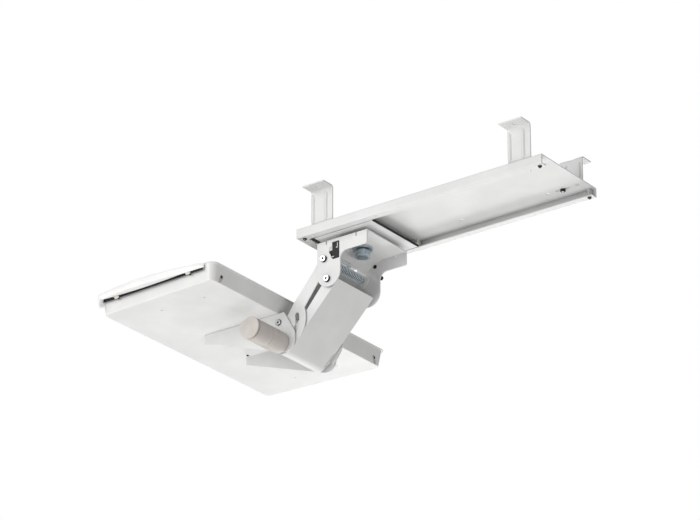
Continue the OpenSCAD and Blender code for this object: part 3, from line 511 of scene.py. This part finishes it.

# Button-head bolts, nickel bright, with a dark socket: they are screwed into the rods' ends
# from both sides and hold the side plates on them. Their black sides are a painted dark
# reflection round the bright crowns.
plate_x = head_high.x
rod_places = []
for rod in ("upper_pivot_rod", "lower_pivot_rod"):
    rod_low, rod_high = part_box(rod)
    rod_places.append(((rod_low.y + rod_high.y) / 2, (rod_low.z + rod_high.z) / 2))


def button_bolts(name, node, body, slot, places, base, r, h, socket_r):
    """Bright flat crowns with a dark socket, on both outer faces. Their black sides are a
    painted dark reflection.
    """
    seat, waist, shoulder, brim = 0.44 * h, 0.52 * h, 0.76 * h, 0.84 * h
    crown_r, crown_foot_r, brim_r = r - 0.0006, r - 0.0003, r - 0.0004
    crown = bent([(socket_r, seat), (socket_r, h), (crown_r, h), (crown_foot_r, waist),
                  (socket_r, seat)], 0.0005)
    wall = bent([(0.0, 0.0), (r, 0.0), (r, shoulder), (brim_r, brim), (0.0, waist)], 0.0003)
    crowns, sides = [], []
    for side in (-1, 1):
        for y, z in places:
            for made, profile in ((crowns, crown), (sides, wall)):
                made.append(turned("part", (side * base, y, z), profile * (1, side), False))
    settle(joined(name + "_crowns", crowns), body, bright_nickel, slot, node)
    settle(joined(name + "_sides_painted_dark_reflection", sides), body, black_moulding, "black_plastic")


bolt_r, bolt_h, bolt_socket_r = 0.0065, 0.0050, 0.0021
button_bolts("pivot_bolt", "pivot_bolts", "head", "bright_steel", rod_places, plate_x, bolt_r,
             bolt_h, bolt_socket_r)

# A steel bar under the panel's lower edge holds the spring. It is coated like the head, and
# two bright screws fix it.
paint(white_coat, "spring_bar")
pressed("spring_bar_screws_eased", "spring_bar_screws", "head", bright_nickel, "bright_steel",
        edge=0.0005)

# The stop block: a stepped black moulding set in the right side plate. Pale nylon marks are
# laid in its outer face, two of them painted highlights on the glossy black, and a thin tip
# hangs under its front.
pressed("stop_block_moulded", "stop_block", "head", black_moulding, "black_plastic", edge=0.0006)
block_low, block_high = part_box("stop_block")
block_y, block_z = block_low.y, block_high.z


def slab(name, outline, start, end):
    """A flat plate: an outline in Y and Z, carried along X from start to end."""
    outline = np.array(outline, float)
    rows = [np.column_stack((np.full(len(outline), x), outline)) for x in (start, end)]
    return surface(name, np.stack(rows), around=True, ends=True)


# Each mark: from and to behind the block's front, and from and to below its top. The first,
# a thin upright line, and the last, a low patch, are painted highlights; the other two are
# pale parts.
marks = ((0.0178, 0.0195, 0.0102, 0.0032), (0.0156, 0.0192, 0.0138, 0.0112),
         (-0.0003, 0.0072, 0.0162, 0.0093), (0.0052, 0.0106, 0.0300, 0.0282))
mark_sink, mark_rise, tip_sink = 0.0003, 0.0002, 0.0002
marks_and_painted_highlights = []
for back_from, back_to, down_from, down_to in marks:
    corners = [(block_y + back, block_z - down) for back, down in (
        (back_from, down_from), (back_to, down_from), (back_to, down_to), (back_from, down_to))]
    marks_and_painted_highlights.append(slab("part", corners, block_high.x - mark_sink, block_high.x + mark_rise))
settle(joined("stop_block_marks_and_painted_highlights", marks_and_painted_highlights), "head", milky_nylon, "nylon")
tip_line = np.array([(0.0080, -0.0170), (-0.0007, -0.0190), (0.0029, -0.0238),
                     (0.0043, -0.0293), (0.0065, -0.0323), (0.0080, -0.0320)])
tip = slab("stop_block_tip", tip_line + (block_y, block_z), plate_x - tip_sink,
           block_high.x - tip_sink)
settle(tip, "head", black_moulding, "black_plastic")

# On the left side plate a black bumper is riveted on near the rear edge, and a black moulded
# plug is pressed into a small hole.
screw_low, screw_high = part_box("side_plate_screw")
rivet_y, rivet_z = (screw_low.y + screw_high.y) / 2, (screw_low.z + screw_high.z) / 2
foot_r, bumper_r, neck_x, end_x = 0.0036, 0.0042, -0.0640, -0.0700
bumper_back, bumper_up = 0.001, 0.0012
bumper = bent([(0.0, -plate_x), (foot_r, -plate_x), (bumper_r, neck_x), (bumper_r, end_x),
               (0.0, end_x)], 0.0008)
settle(turned("side_bumper_moulded", (0.0, rivet_y + bumper_back, rivet_z + bumper_up), bumper,
              False), "head", black_moulding, "black_plastic", "side_plate_screw")
rivet_r, rivet_x = 0.0025, -0.0598
rivet = bent([(0.0, rivet_x), (rivet_r, rivet_x), (rivet_r, -plate_x), (0.0, -plate_x)], 0.0002)
settle(turned("side_rivet_end", (0.0, rivet_y, rivet_z), rivet, False), "head", white_coat,
       "steel_white")
pressed("hole_plug_moulded", "hole_plug", "head", black_moulding, "black_plastic", edge=0.0003)

# The torsion spring: zinc-plated wire in 22 curls round a black sleeve, with one leg up
# against the front panel and the other under the arm. The sleeve's black is painted shade: it
# makes the gaps between the curls look dark. The wire is drawn at 2.2 mm, thinner than the
# solid's, so that the curls stand apart.
rod_y, rod_z = rod_places[0]
wire_d, curls, curl_pitch, curl_r = 0.0022, 22, 0.0046, 0.0068
curl_parts, wire_parts = 24, 12
curl_half = curl_pitch * curls / 2
leg_from, leg_to = math.radians(44), math.atan(17.5 / 42)
short_leg, long_leg = 0.0068, 0.0082


def wound(name):
    """A round wire carried along a helix about X, whose two ends run off along the tangent.
    The wire's ring is drawn in the plane across the path: the outward and sideways directions
    times the cosine and sine of an angle."""
    turns = 2 * math.pi * curls - leg_from + leg_to
    t = np.linspace(0, 1, curl_parts * curls + 1)
    a = leg_from + turns * t
    outward = np.stack([0 * a, np.cos(a), np.sin(a)], 1)
    forward = np.stack([0 * a, -np.sin(a), np.cos(a)], 1)
    path = curl_r * outward + np.stack([curl_half * (2 * t - 1), 0 * t, 0 * t], 1)
    path = np.vstack((path[:1] - short_leg * forward[:1], path,
                      path[-1:] + long_leg * forward[-1:])) + (0, rod_y, rod_z)
    outward = np.vstack((outward[:1], outward, outward[-1:]))
    along = np.gradient(path, axis=0)
    along /= np.linalg.norm(along, axis=1)[:, None]
    sideways = np.cross(along, outward)
    b = np.linspace(0, 2 * np.pi, wire_parts + 1)[:-1]
    ring = (np.cos(b)[None, :, None] * outward[:, None] + np.sin(b)[None, :, None]
            * sideways[:, None]) * wire_d / 2
    return surface(name, path[:, None] + ring, around=True, ends=True)


# The spring's wire: the same zinc plate, painted paler and less of a mirror, as painted light
# that makes the curls read as lit strokes.
spring_zinc_painted_paler = zinc_plate.copy()
spring_zinc_painted_paler.name = "spring_zinc_painted_paler"
for node in spring_zinc_painted_paler.node_tree.nodes:
    if node.type == "VALTORGB":
        node.color_ramp.elements[0].color = srgb("#c4d0d8")
        node.color_ramp.elements[-1].color = srgb("#e2eaef")
    if node.type == "BSDF_PRINCIPLED":
        node.inputs["Metallic"].default_value = 0.2
settle(wound("torsion_spring_wound"), "head", spring_zinc_painted_paler, "zinc", "torsion_spring")
# The sleeve is painted black as painted shade between the curls.
paint(black_moulding, "spring_sleeve")

# The arm: a folded cover under it, and above it two flat links that end in a fan with an arc
# slot, joined by a folded web. All are laser cut and folded from sheet, then coated.
pressed("arm_cover_folded", "arm_cover", "lower_link", white_coat, "steel_white", edge=0.0007,
        segments=3)
pressed("right_link_cut", "right_upper_link", "upper_link", white_coat, "steel_white", edge=0.0005)
pressed("left_link_cut", "left_upper_link", "upper_link", white_coat, "steel_white", edge=0.0005)
arm_angle = math.radians(44)
up_arm = np.array([math.cos(arm_angle), math.sin(arm_angle)])
off_arm = np.array([-math.sin(arm_angle), math.cos(arm_angle)])
# The web's upper face, as distances from the upper rod: along the arm and off it.
web_t, web_half = 0.0025, 0.0564
web_top = np.array([(-0.0094, 0.00865), (-0.016, 0.008), (-0.0318, 0.0068), (-0.0866, 0.0015),
                    (-0.0963, 0.0010)])
web_line = np.vstack((web_top, web_top[::-1] - (0.0, web_t)))
web = slab("link_web_folded", np.array(rod_places[0]) + web_line[:, :1] * up_arm
           + web_line[:, 1:] * off_arm, -web_half, web_half)
ease(web, 0.0003)
settle(web, "upper_link", white_coat, "steel_white", "link_web")

# The level head between the links: two short plates on a rod and a spacer tube. The clamp
# bolt goes through it and the ears of the tray bracket.
pressed("right_level_cut", "right_level_plate", "level_head", white_coat, "steel_white")
pressed("left_level_cut", "left_level_plate", "level_head", white_coat, "steel_white")
paint(zinc_plate, "level_rod", "level_spacer", "clamp_bolt")

# The tray bracket: a folded plate under the tray with an ear on each side. Black screws hold
# the web under the tray, and bright button heads sit in the ears.
bracket_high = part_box("tray_bracket")[1]


def ear_folds(p):
    """Points on the fold between the web and the ears, along the top of the outer sides."""
    side = np.abs(p[:, 0]) > bracket_high.x - touching
    return side & (np.abs(p[:, 2] - bracket_high.z) < touching)


pressed("tray_bracket_folded", "tray_bracket", "tray", white_coat, "steel_white",
        edge=0.0005, fold=0.0018, on_fold=ear_folds, segments=3)
ear_low, ear_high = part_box("ear_screws")
# The ear screws' black sides are a painted dark reflection, as on the pivot bolts.
button_bolts("ear_screw", "ear_screws", "tray", "zinc",
             [((ear_low.y + ear_high.y) / 2, (ear_low.z + ear_high.z) / 2)], bracket_high.x,
             (ear_high.z - ear_low.z) / 2, ear_high.x - bracket_high.x, 0.0018)
fixing_low, fixing_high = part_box("bracket_fixings")
fixing_r, front_inset = 0.0045, 0.012
shank_r, crown_r, foot_r = 0.0016, 0.0026, 0.0021
crown_z, foot_z = fixing_low.z + 0.0024, fixing_low.z + 0.0010
screw = bent([(0.0, fixing_high.z), (shank_r, fixing_high.z), (shank_r, crown_z),
              (crown_r, crown_z), (foot_r, foot_z), (0.0, foot_z)], 0.0003)
outer_x = fixing_high.x - fixing_r
fixings = [turned("part", (side * x, y, 0.0), screw)
           for x, y in ((outer_x, fixing_low.y + fixing_r),
                        (outer_x - front_inset, fixing_high.y - fixing_r))
           for side in (-1, 1)]
settle(joined("bracket_fixings_black", fixings), "tray", black_moulding, "black_plastic",
       "bracket_fixings")

# The tray is a pressed steel pan: a flat bottom, walls that lean out, corners of 16 mm and a
# rim turned outward. Small holes are pierced in the bottom and a slot at each end of the back.
pan_low, pan_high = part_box("tray_pan")
pan_t, rim_w, wall_lean, corner_r = 0.0015, 0.003, 0.005, 0.016
floor_edge, crease_r = 0.012, 0.0018
back_y, pan_depth = pan_high.y, pan_high.y - pan_low.y
rear_half, front_half = 0.2628, 0.2517


def pan_outline(inset, corner_parts=14, side_parts=12):
    """Points round the pan, moved in by inset: a trapezoid whose four corners are arcs, with
    the straight stretches between them divided evenly."""
    r = corner_r - inset / 2
    slope = (rear_half - front_half) / pan_depth
    near = rear_half - slope * corner_r - inset - r
    far = rear_half - slope * (pan_depth - corner_r) - inset - r
    back, front = back_y - inset - r, back_y - pan_depth + inset + r
    middles = ((near, back, 0), (-near, back, 90), (-far, front, 180), (far, front, 270))
    arcs = []
    for x, y, start in middles:
        a = np.radians(start + np.linspace(0, 90, corner_parts + 1))
        arcs.append(np.stack([x + r * np.cos(a), y + r * np.sin(a)], 1))
    whole = []
    for arc_now, arc_next in zip(arcs, arcs[1:] + arcs[:1]):
        t = np.linspace(0, 1, side_parts + 1)[1:-1, None]
        whole += [arc_now, arc_now[-1] * (1 - t) + arc_next[0] * t]
    return np.concatenate(whole)


def pan_shell(name):
    """The outer skin is a profile of inset and height, carried round the outline: in along
    the bottom, round the crease, up the leaning wall, and out along the rim."""
    foot = rim_w + wall_lean
    bottom, rim = pan_low.z, pan_high.z
    profile = bent([(foot + floor_edge, bottom), (foot, bottom), (rim_w, rim - pan_t),
                    (0.0, rim - pan_t)], crease_r, 6)
    rows = [np.insert(pan_outline(inset), 2, height, axis=1) for inset, height in profile]
    piece = surface(name, np.stack(rows), around=True)
    shape = bmesh.new()
    shape.from_mesh(piece.data)
    inner = [e for e in shape.edges if e.is_boundary
             and all(abs(v.co.z - bottom) < 1e-6 for v in e.verts)]
    bmesh.ops.contextual_create(shape, geom=inner)
    bmesh.ops.recalc_face_normals(shape, faces=shape.faces)
    shape.faces.ensure_lookup_table()
    floor_face = max(shape.faces, key=lambda f: f.calc_area())
    if floor_face.normal.z > 0:
        bmesh.ops.reverse_faces(shape, faces=shape.faces)
    shape.to_mesh(piece.data)
    shape.free()
    wall = piece.modifiers.new("sheet", "SOLIDIFY")
    wall.thickness = pan_t
    wall.offset = -1.0
    return finished(piece)


pan = pan_shell("tray_pan_pressed")
hole_x, hole_rows, hole_r, hole_half = 0.1995, (-0.0697, -0.1679), 0.00175, 0.006
holes = [((x, back_y + y, pan_low.z), (0, 0, 1), hole_r, hole_half, (0, 0, 0))
         for x in (-hole_x, hole_x) for y in hole_rows]
slot_x, slot_y, slot_z = 0.232, back_y - 0.006, pan_low.z + 0.0088
slot_r, slot_half, slot_run, slot_drop = 0.0040, 0.012, 0.0022, 0.0040
for side in (-1, 1):
    holes.append(((side * slot_x, slot_y, slot_z), (0, 1, 0), slot_r, slot_half,
                  (slot_run * side, 0.0, -slot_drop)))
drilled(pan, holes)
ease(pan, 0.0002, angle=60)
settle(pan, "tray", white_coat, "steel_white", "tray_pan")

# Behind each slot in the back stands a small plate, which closes it, and a black spot of
# painted shade darkens the slot's upper end. Both lean with the wall.

# Warm grey moulding, on them and on the knob: its tone drifts over 20 mm, and the mould's grain
# is drawn at 1.8 mm.
warm_grey, tree, shader = new_finish("warm_grey_moulding", 0.48)
place = add(tree, "ShaderNodeTexCoord").outputs["Object"]
drift = add(tree, "ShaderNodeTexNoise", {"Vector": place, "Scale": 1 / 0.020, "Detail": 3.0})
tone = add(tree, "ShaderNodeValToRGB", {"Fac": drift.outputs["Fac"]},
           tones=((0.3, "#b9b3ad"), (0.7, "#c4beb8")))
grain = add(tree, "ShaderNodeTexVoronoi", {"Vector": place, "Scale": 1 / 0.0018})
gloss = add(tree, "ShaderNodeMapRange",
            {"Value": drift.outputs["Fac"], "To Min": 0.40, "To Max": 0.54})
skin = add(tree, "ShaderNodeBump",
           {"Height": grain.outputs["Distance"], "Strength": 0.10, "Distance": 0.0003})
tree.links.new(tone.outputs["Color"], shader.inputs["Base Color"])
tree.links.new(gloss.outputs["Result"], shader.inputs["Roughness"])
tree.links.new(skin.outputs["Normal"], shader.inputs["Normal"])

wall_y = back_y - rim_w - wall_lean
plate_half, shade_spot_shift, shade_spot_half = 0.0075, 0.0020, 0.0018
plate_line = np.array([(-0.0022, 0.0016), (-0.0011, 0.0016), (0.0013, 0.0168), (0.0002, 0.0168)])
shade_spot_line = np.array([(0.0001, 0.0112), (0.0016, 0.0112), (0.0021, 0.0142), (0.0006, 0.0142)])
for word, side in (("right", 1), ("left", -1)):
    middle_x = side * slot_x
    settle(slab(word + "_slot_plate", plate_line + (wall_y, pan_low.z), middle_x - plate_half,
                middle_x + plate_half), "tray", warm_grey, "steel_white")
    # The black spot in each slot is painted shade.
    settle(slab(word + "_slot_painted_shade_spot", shade_spot_line + (wall_y, pan_low.z),
                middle_x - shade_spot_shift - shade_spot_half, middle_x - shade_spot_shift + shade_spot_half), "tray",
           black_moulding, "black_plastic")

# Side rails: bowed white mouldings along both sides, rounded outside and below, that hold on
# by two tabs each and leave a slot along the tray's wall. A black strip in the slot is painted
# shade that makes it look dark, and a black spot beside each tab is painted shade too.

# White moulding: a satin plastic. Its tone drifts over 50 mm, and the mould's fine grain is
# drawn at 2 mm.
white_moulding, tree, shader = new_finish("white_moulding", 0.4)
place = add(tree, "ShaderNodeTexCoord").outputs["Object"]
drift = add(tree, "ShaderNodeTexNoise", {"Vector": place, "Scale": 1 / 0.050, "Detail": 2.0})
tone = add(tree, "ShaderNodeValToRGB", {"Fac": drift.outputs["Fac"]},
           tones=((0.3, "#e2e2e0"), (0.7, "#ebebea")))
grain = add(tree, "ShaderNodeTexNoise", {"Vector": place, "Scale": 1 / 0.002, "Detail": 3.0})
gloss = add(tree, "ShaderNodeMapRange",
            {"Value": grain.outputs["Fac"], "To Min": 0.34, "To Max": 0.46})
skin = add(tree, "ShaderNodeBump",
           {"Height": grain.outputs["Fac"], "Strength": 0.08, "Distance": 0.0002})
tree.links.new(tone.outputs["Color"], shader.inputs["Base Color"])
tree.links.new(gloss.outputs["Result"], shader.inputs["Roughness"])
tree.links.new(skin.outputs["Normal"], shader.inputs["Normal"])

rail_start, rail_length, rail_w, rail_bow, rail_h = 0.0214, 0.250, 0.0168, 0.016, 0.012
rail_gap, end_round, shoulder_r, lip_w, lip_t = 0.0002, 0.010, 0.007, 0.0030, 0.0016
# The bulge at the front end, where the rail is deeper and tucks under the tray.
bulge_start, bulge_run, bulge_h, bulge_tuck = 0.955, 0.02, 0.012, 0.0045
shade_strip_gap, shade_strip_w, shade_strip_h = 0.0001, 0.0009, 0.0126
# Shares of the rail's width: the least left at its ends, the most that the lip, the shoulder
# and the black strip of painted shade take, and where its top edge, eased by edge_drop,
# starts to fall.
least_w, lip_most, shoulder_most, shade_strip_most, edge_from, edge_to = 0.05, 0.35, 0.6, 0.3, 0.12, 0.06
edge_drop = 0.0003
# Shares of its depth: at the ends and what the middle adds, where the outer face, the round
# shoulder and the inner face start, and the most that the lip takes.
end_deep, middle_deep, face_from, round_from, round_rest = 0.72, 0.28, 0.10, 0.45, 0.55
inner_from, lip_deep_most = 0.2, 0.8
rail_parts, shoulder_parts = 120, 8
tab_places, tab_span, tab_shade_span = (0.057, 0.228), (-0.0047, 0.0047), (0.0018, 0.0048)
# The tab's outline, and that of the black spot of painted shade beside it: outward from the
# tray's wall, and down from the rail's top.
tab_foot, tab_top = 0.0129, 0.006
tab_shade_line = [(-0.0008, 0.0150), (0.0013, 0.0146), (0.0013, 0.0120), (-0.0002, 0.0120)]


def side_rail(name, node, side):
    """A rounded strip carried along the rim: its inner edge follows the pan's straight side
    and its outer edge is a parabola, and both draw together in a quarter round at each end."""
    low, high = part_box(node)
    t = np.linspace(0, 1, rail_parts + 1)
    along = rail_start + rail_length * t
    inner = rear_half - (rear_half - front_half) / pan_depth * along + rail_gap
    outer = rear_half + rail_w - rail_bow * (2 * t - 1) ** 2
    end = np.clip(np.minimum(t, 1 - t) * rail_length / end_round, 0, 1)
    wide = ((outer - inner) * np.sqrt(1 - (1 - end) ** 2).clip(least_w, 1))[:, None]
    front = np.clip((t - bulge_start) / bulge_run, 0, 1)[:, None]
    front = front ** 2 * (3 - 2 * front)
    deep = (rail_h * (end_deep + middle_deep * np.sin(np.pi * t)))[:, None] + bulge_h * front
    lip = np.minimum(lip_w, lip_most * wide) * (1 - front) - bulge_tuck * front
    round_w = np.minimum(shoulder_most * wide, shoulder_r)
    b = np.linspace(0, np.pi / 2, shoulder_parts + 1)[None]
    still = np.zeros_like(wide)
    across = np.hstack((still, wide - edge_from * wide, wide - edge_to * wide, wide,
                        wide - round_w * (1 - np.cos(b)),
                        lip + (wide - round_w - lip) * np.cos(b)[:, 1:], lip, still))
    face_top = inner_from * deep
    lip_deep = (lip_deep_most * deep).clip(0, lip_t)
    down = np.hstack((still, still, edge_drop + still, face_from * deep,
                      deep * (round_from + round_rest * np.sin(b)),
                      deep - lip_deep * (1 - np.sin(b[:, ::-1]))[:, 1:], face_top, face_top))
    top = high.z - rail_gap
    rows = np.stack([side * (inner[:, None] + across), back_y - along[:, None] + 0 * across,
                     top - down], -1)
    rail = surface(name, rows, around=True, ends=True)
    ease(rail, 0.0002, angle=60)
    settle(rail, "tray", white_moulding, "white_plastic", node)

    # The black strip of painted shade in the slot between the rail and the tray's wall.
    near = still + shade_strip_gap
    far = near + np.minimum(shade_strip_w, shade_strip_most * wide)
    across = np.hstack((near, far, far, near))
    down = np.hstack((face_top, face_top, shade_strip_h + still, shade_strip_h + still))
    rows = np.stack([side * (inner[:, None] + across), back_y - along[:, None] + 0 * across,
                     top - down], -1)[1:-5]
    settle(surface(name + "_painted_shade_strip", rows, around=True, ends=True), "tray", black_moulding,
           "black_plastic")
    tabs, tab_shades = [], []
    for place in tab_places:
        edge_x = float(np.interp(place, along, inner))
        edge_t = float(np.interp(place, along, deep[:, 0]))
        tab = [(0.0006, tab_foot), (0.0012, tab_foot + 0.0003), (0.0052, edge_t),
               (0.0040, tab_top), (0.0011, tab_top)]
        for made, outline, (y0, y1) in ((tabs, tab, tab_span), (tab_shades, tab_shade_line, tab_shade_span)):
            rows = [[(side * (edge_x + x), back_y - place + y, top - z) for x, z in outline]
                    for y in (y0, y1)]
            made.append(surface("part", np.array(rows), around=True, ends=True))
    settle(joined(name + "_tabs", tabs), "tray", milky_nylon, "nylon")
    # The black spots beside the tabs are painted shade.
    settle(joined(name + "_painted_shade_spots", tab_shades), "tray", black_moulding, "black_plastic")


side_rail("right_rail_moulded", "right_side_rail", 1)
side_rail("left_rail_moulded", "left_side_rail", -1)

# The tilt knob: a warm grey moulded grip on the clamp bolt, with a fixed sleeve between it
# and the bracket, and an end cap pressed on over a black ring. The ring's black is painted
# shade that makes the narrow groove before the cap look dark.
knob_low, knob_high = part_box("knob_grip")
knob_r = (knob_high.z - knob_low.z) / 2
knob_middle = (0.0, (knob_low.y + knob_high.y) / 2, (knob_low.z + knob_high.z) / 2)
sleeve_low, sleeve_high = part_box("knob_sleeve")
cap_low, cap_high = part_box("knob_cap")
shaft_r, groove, groove_shade_t, groove_shade_inset, grip_floor = 0.0041, 0.0008, 0.0012, 0.0005, 0.005
nose_w, nose_h, taper_w, taper_h = 0.0045, 0.0022, 0.0012, 0.010

sleeve = bent([(shaft_r, sleeve_low.x), (knob_r - nose_w, sleeve_low.x),
               (knob_r - taper_w, sleeve_low.x + nose_h), (knob_r, sleeve_low.x + taper_h),
               (knob_r, sleeve_high.x - groove), (knob_r - groove, sleeve_high.x - groove),
               (knob_r - groove, sleeve_high.x), (shaft_r, sleeve_high.x)], 0.0003)
settle(turned("knob_sleeve_moulded", knob_middle, np.vstack((sleeve, sleeve[:1])), False),
       "tray", warm_grey, "knob_plastic", "knob_sleeve")
grip_end = knob_high.x - grip_floor
grip = bent([(0.0, grip_end), (shaft_r, grip_end), (shaft_r, knob_low.x), (knob_r, knob_low.x),
             (knob_r, knob_high.x), (0.0, knob_high.x)], 0.0004)
settle(turned("knob_grip_moulded", knob_middle, grip, False), "knob",
       warm_grey, "knob_plastic", "knob_grip")
# The black ring is painted shade: it darkens the groove between the sleeve and the cap.
groove_shade_r, groove_shade_end = knob_r - groove_shade_inset, cap_low.x + groove_shade_t
ring = bent([(0.0, cap_low.x), (groove_shade_r, cap_low.x), (groove_shade_r, groove_shade_end), (0.0, groove_shade_end)], 0.0002)
settle(turned("knob_cap_painted_groove_shade", knob_middle, ring, False), "knob", black_moulding, "black_plastic")
cap = bent([(0.0, groove_shade_end), (knob_r, groove_shade_end), (knob_r, cap_high.x), (0.0, cap_high.x)], 0.0006)
settle(turned("knob_cap_moulded", knob_middle, cap, False), "knob", warm_grey, "knob_plastic",
       "knob_cap")

# The studio: a plain pale floor far below, a white world that lights softly, and five soft
# boxes that the camera doesn't see.
floor = bpy.data.objects.new("floor", bpy.data.meshes.new("floor"))
floor_half, floor_z = 20, -3.4
corners = [(x * floor_half, y * floor_half, floor_z)
           for x, y in ((-1, -1), (1, -1), (1, 1), (-1, 1))]
floor.data.from_pydata(corners, [], [(0, 1, 2, 3)])
bpy.context.scene.collection.objects.link(floor)
studio_floor, tree, shader = new_finish("studio_floor", 0.9)
shader.inputs["Base Color"].default_value = srgb("#f2f2f1")
floor.data.materials.append(studio_floor)

world = bpy.data.worlds.new("studio")
bpy.context.scene.world = world
world.use_nodes = True
tree = world.node_tree
tree.nodes.clear()
seen = add(tree, "ShaderNodeLightPath").outputs["Is Camera Ray"]
white = add(tree, "ShaderNodeBackground", {"Color": (1.0, 1.0, 1.0, 1.0), "Strength": 1.0})
room_light = 0.42
soft = add(tree, "ShaderNodeBackground", {"Color": (1.0, 1.0, 1.0, 1.0), "Strength": room_light})
both = add(tree, "ShaderNodeMixShader")
tree.links.new(seen, both.inputs[0])
tree.links.new(soft.outputs[0], both.inputs[1])
tree.links.new(white.outputs[0], both.inputs[2])
add(tree, "ShaderNodeOutputWorld", {"Surface": both.outputs[0]})


aimed_at = Vector((0.0, -0.15, -0.15))


def lamp(name, place, power, size):
    """A square soft box that points at the middle of the arm and isn't seen itself."""
    made = bpy.data.objects.new(name, bpy.data.lights.new(name, "AREA"))
    made.data.energy = power
    made.data.size = size
    made.location = place
    made.rotation_mode = "QUATERNION"
    made.rotation_quaternion = (aimed_at - made.location).to_track_quat("-Z", "Y")
    made.visible_camera = False
    bpy.context.scene.collection.objects.link(made)


lamp("right_soft_box", (3.5, -0.8, -0.1), 60.0, 1.6)
lamp("upper_soft_box", (2.3, -1.8, 1.0), 14.0, 1.2)
lamp("left_soft_box", (-2.3, -1.2, -0.9), 20.0, 1.4)
lamp("low_soft_box", (0.15, -1.05, -1.35), 10.5, 1.3)
lamp("rear_soft_box", (0.9, 1.6, -2.2), 22.0, 1.4)
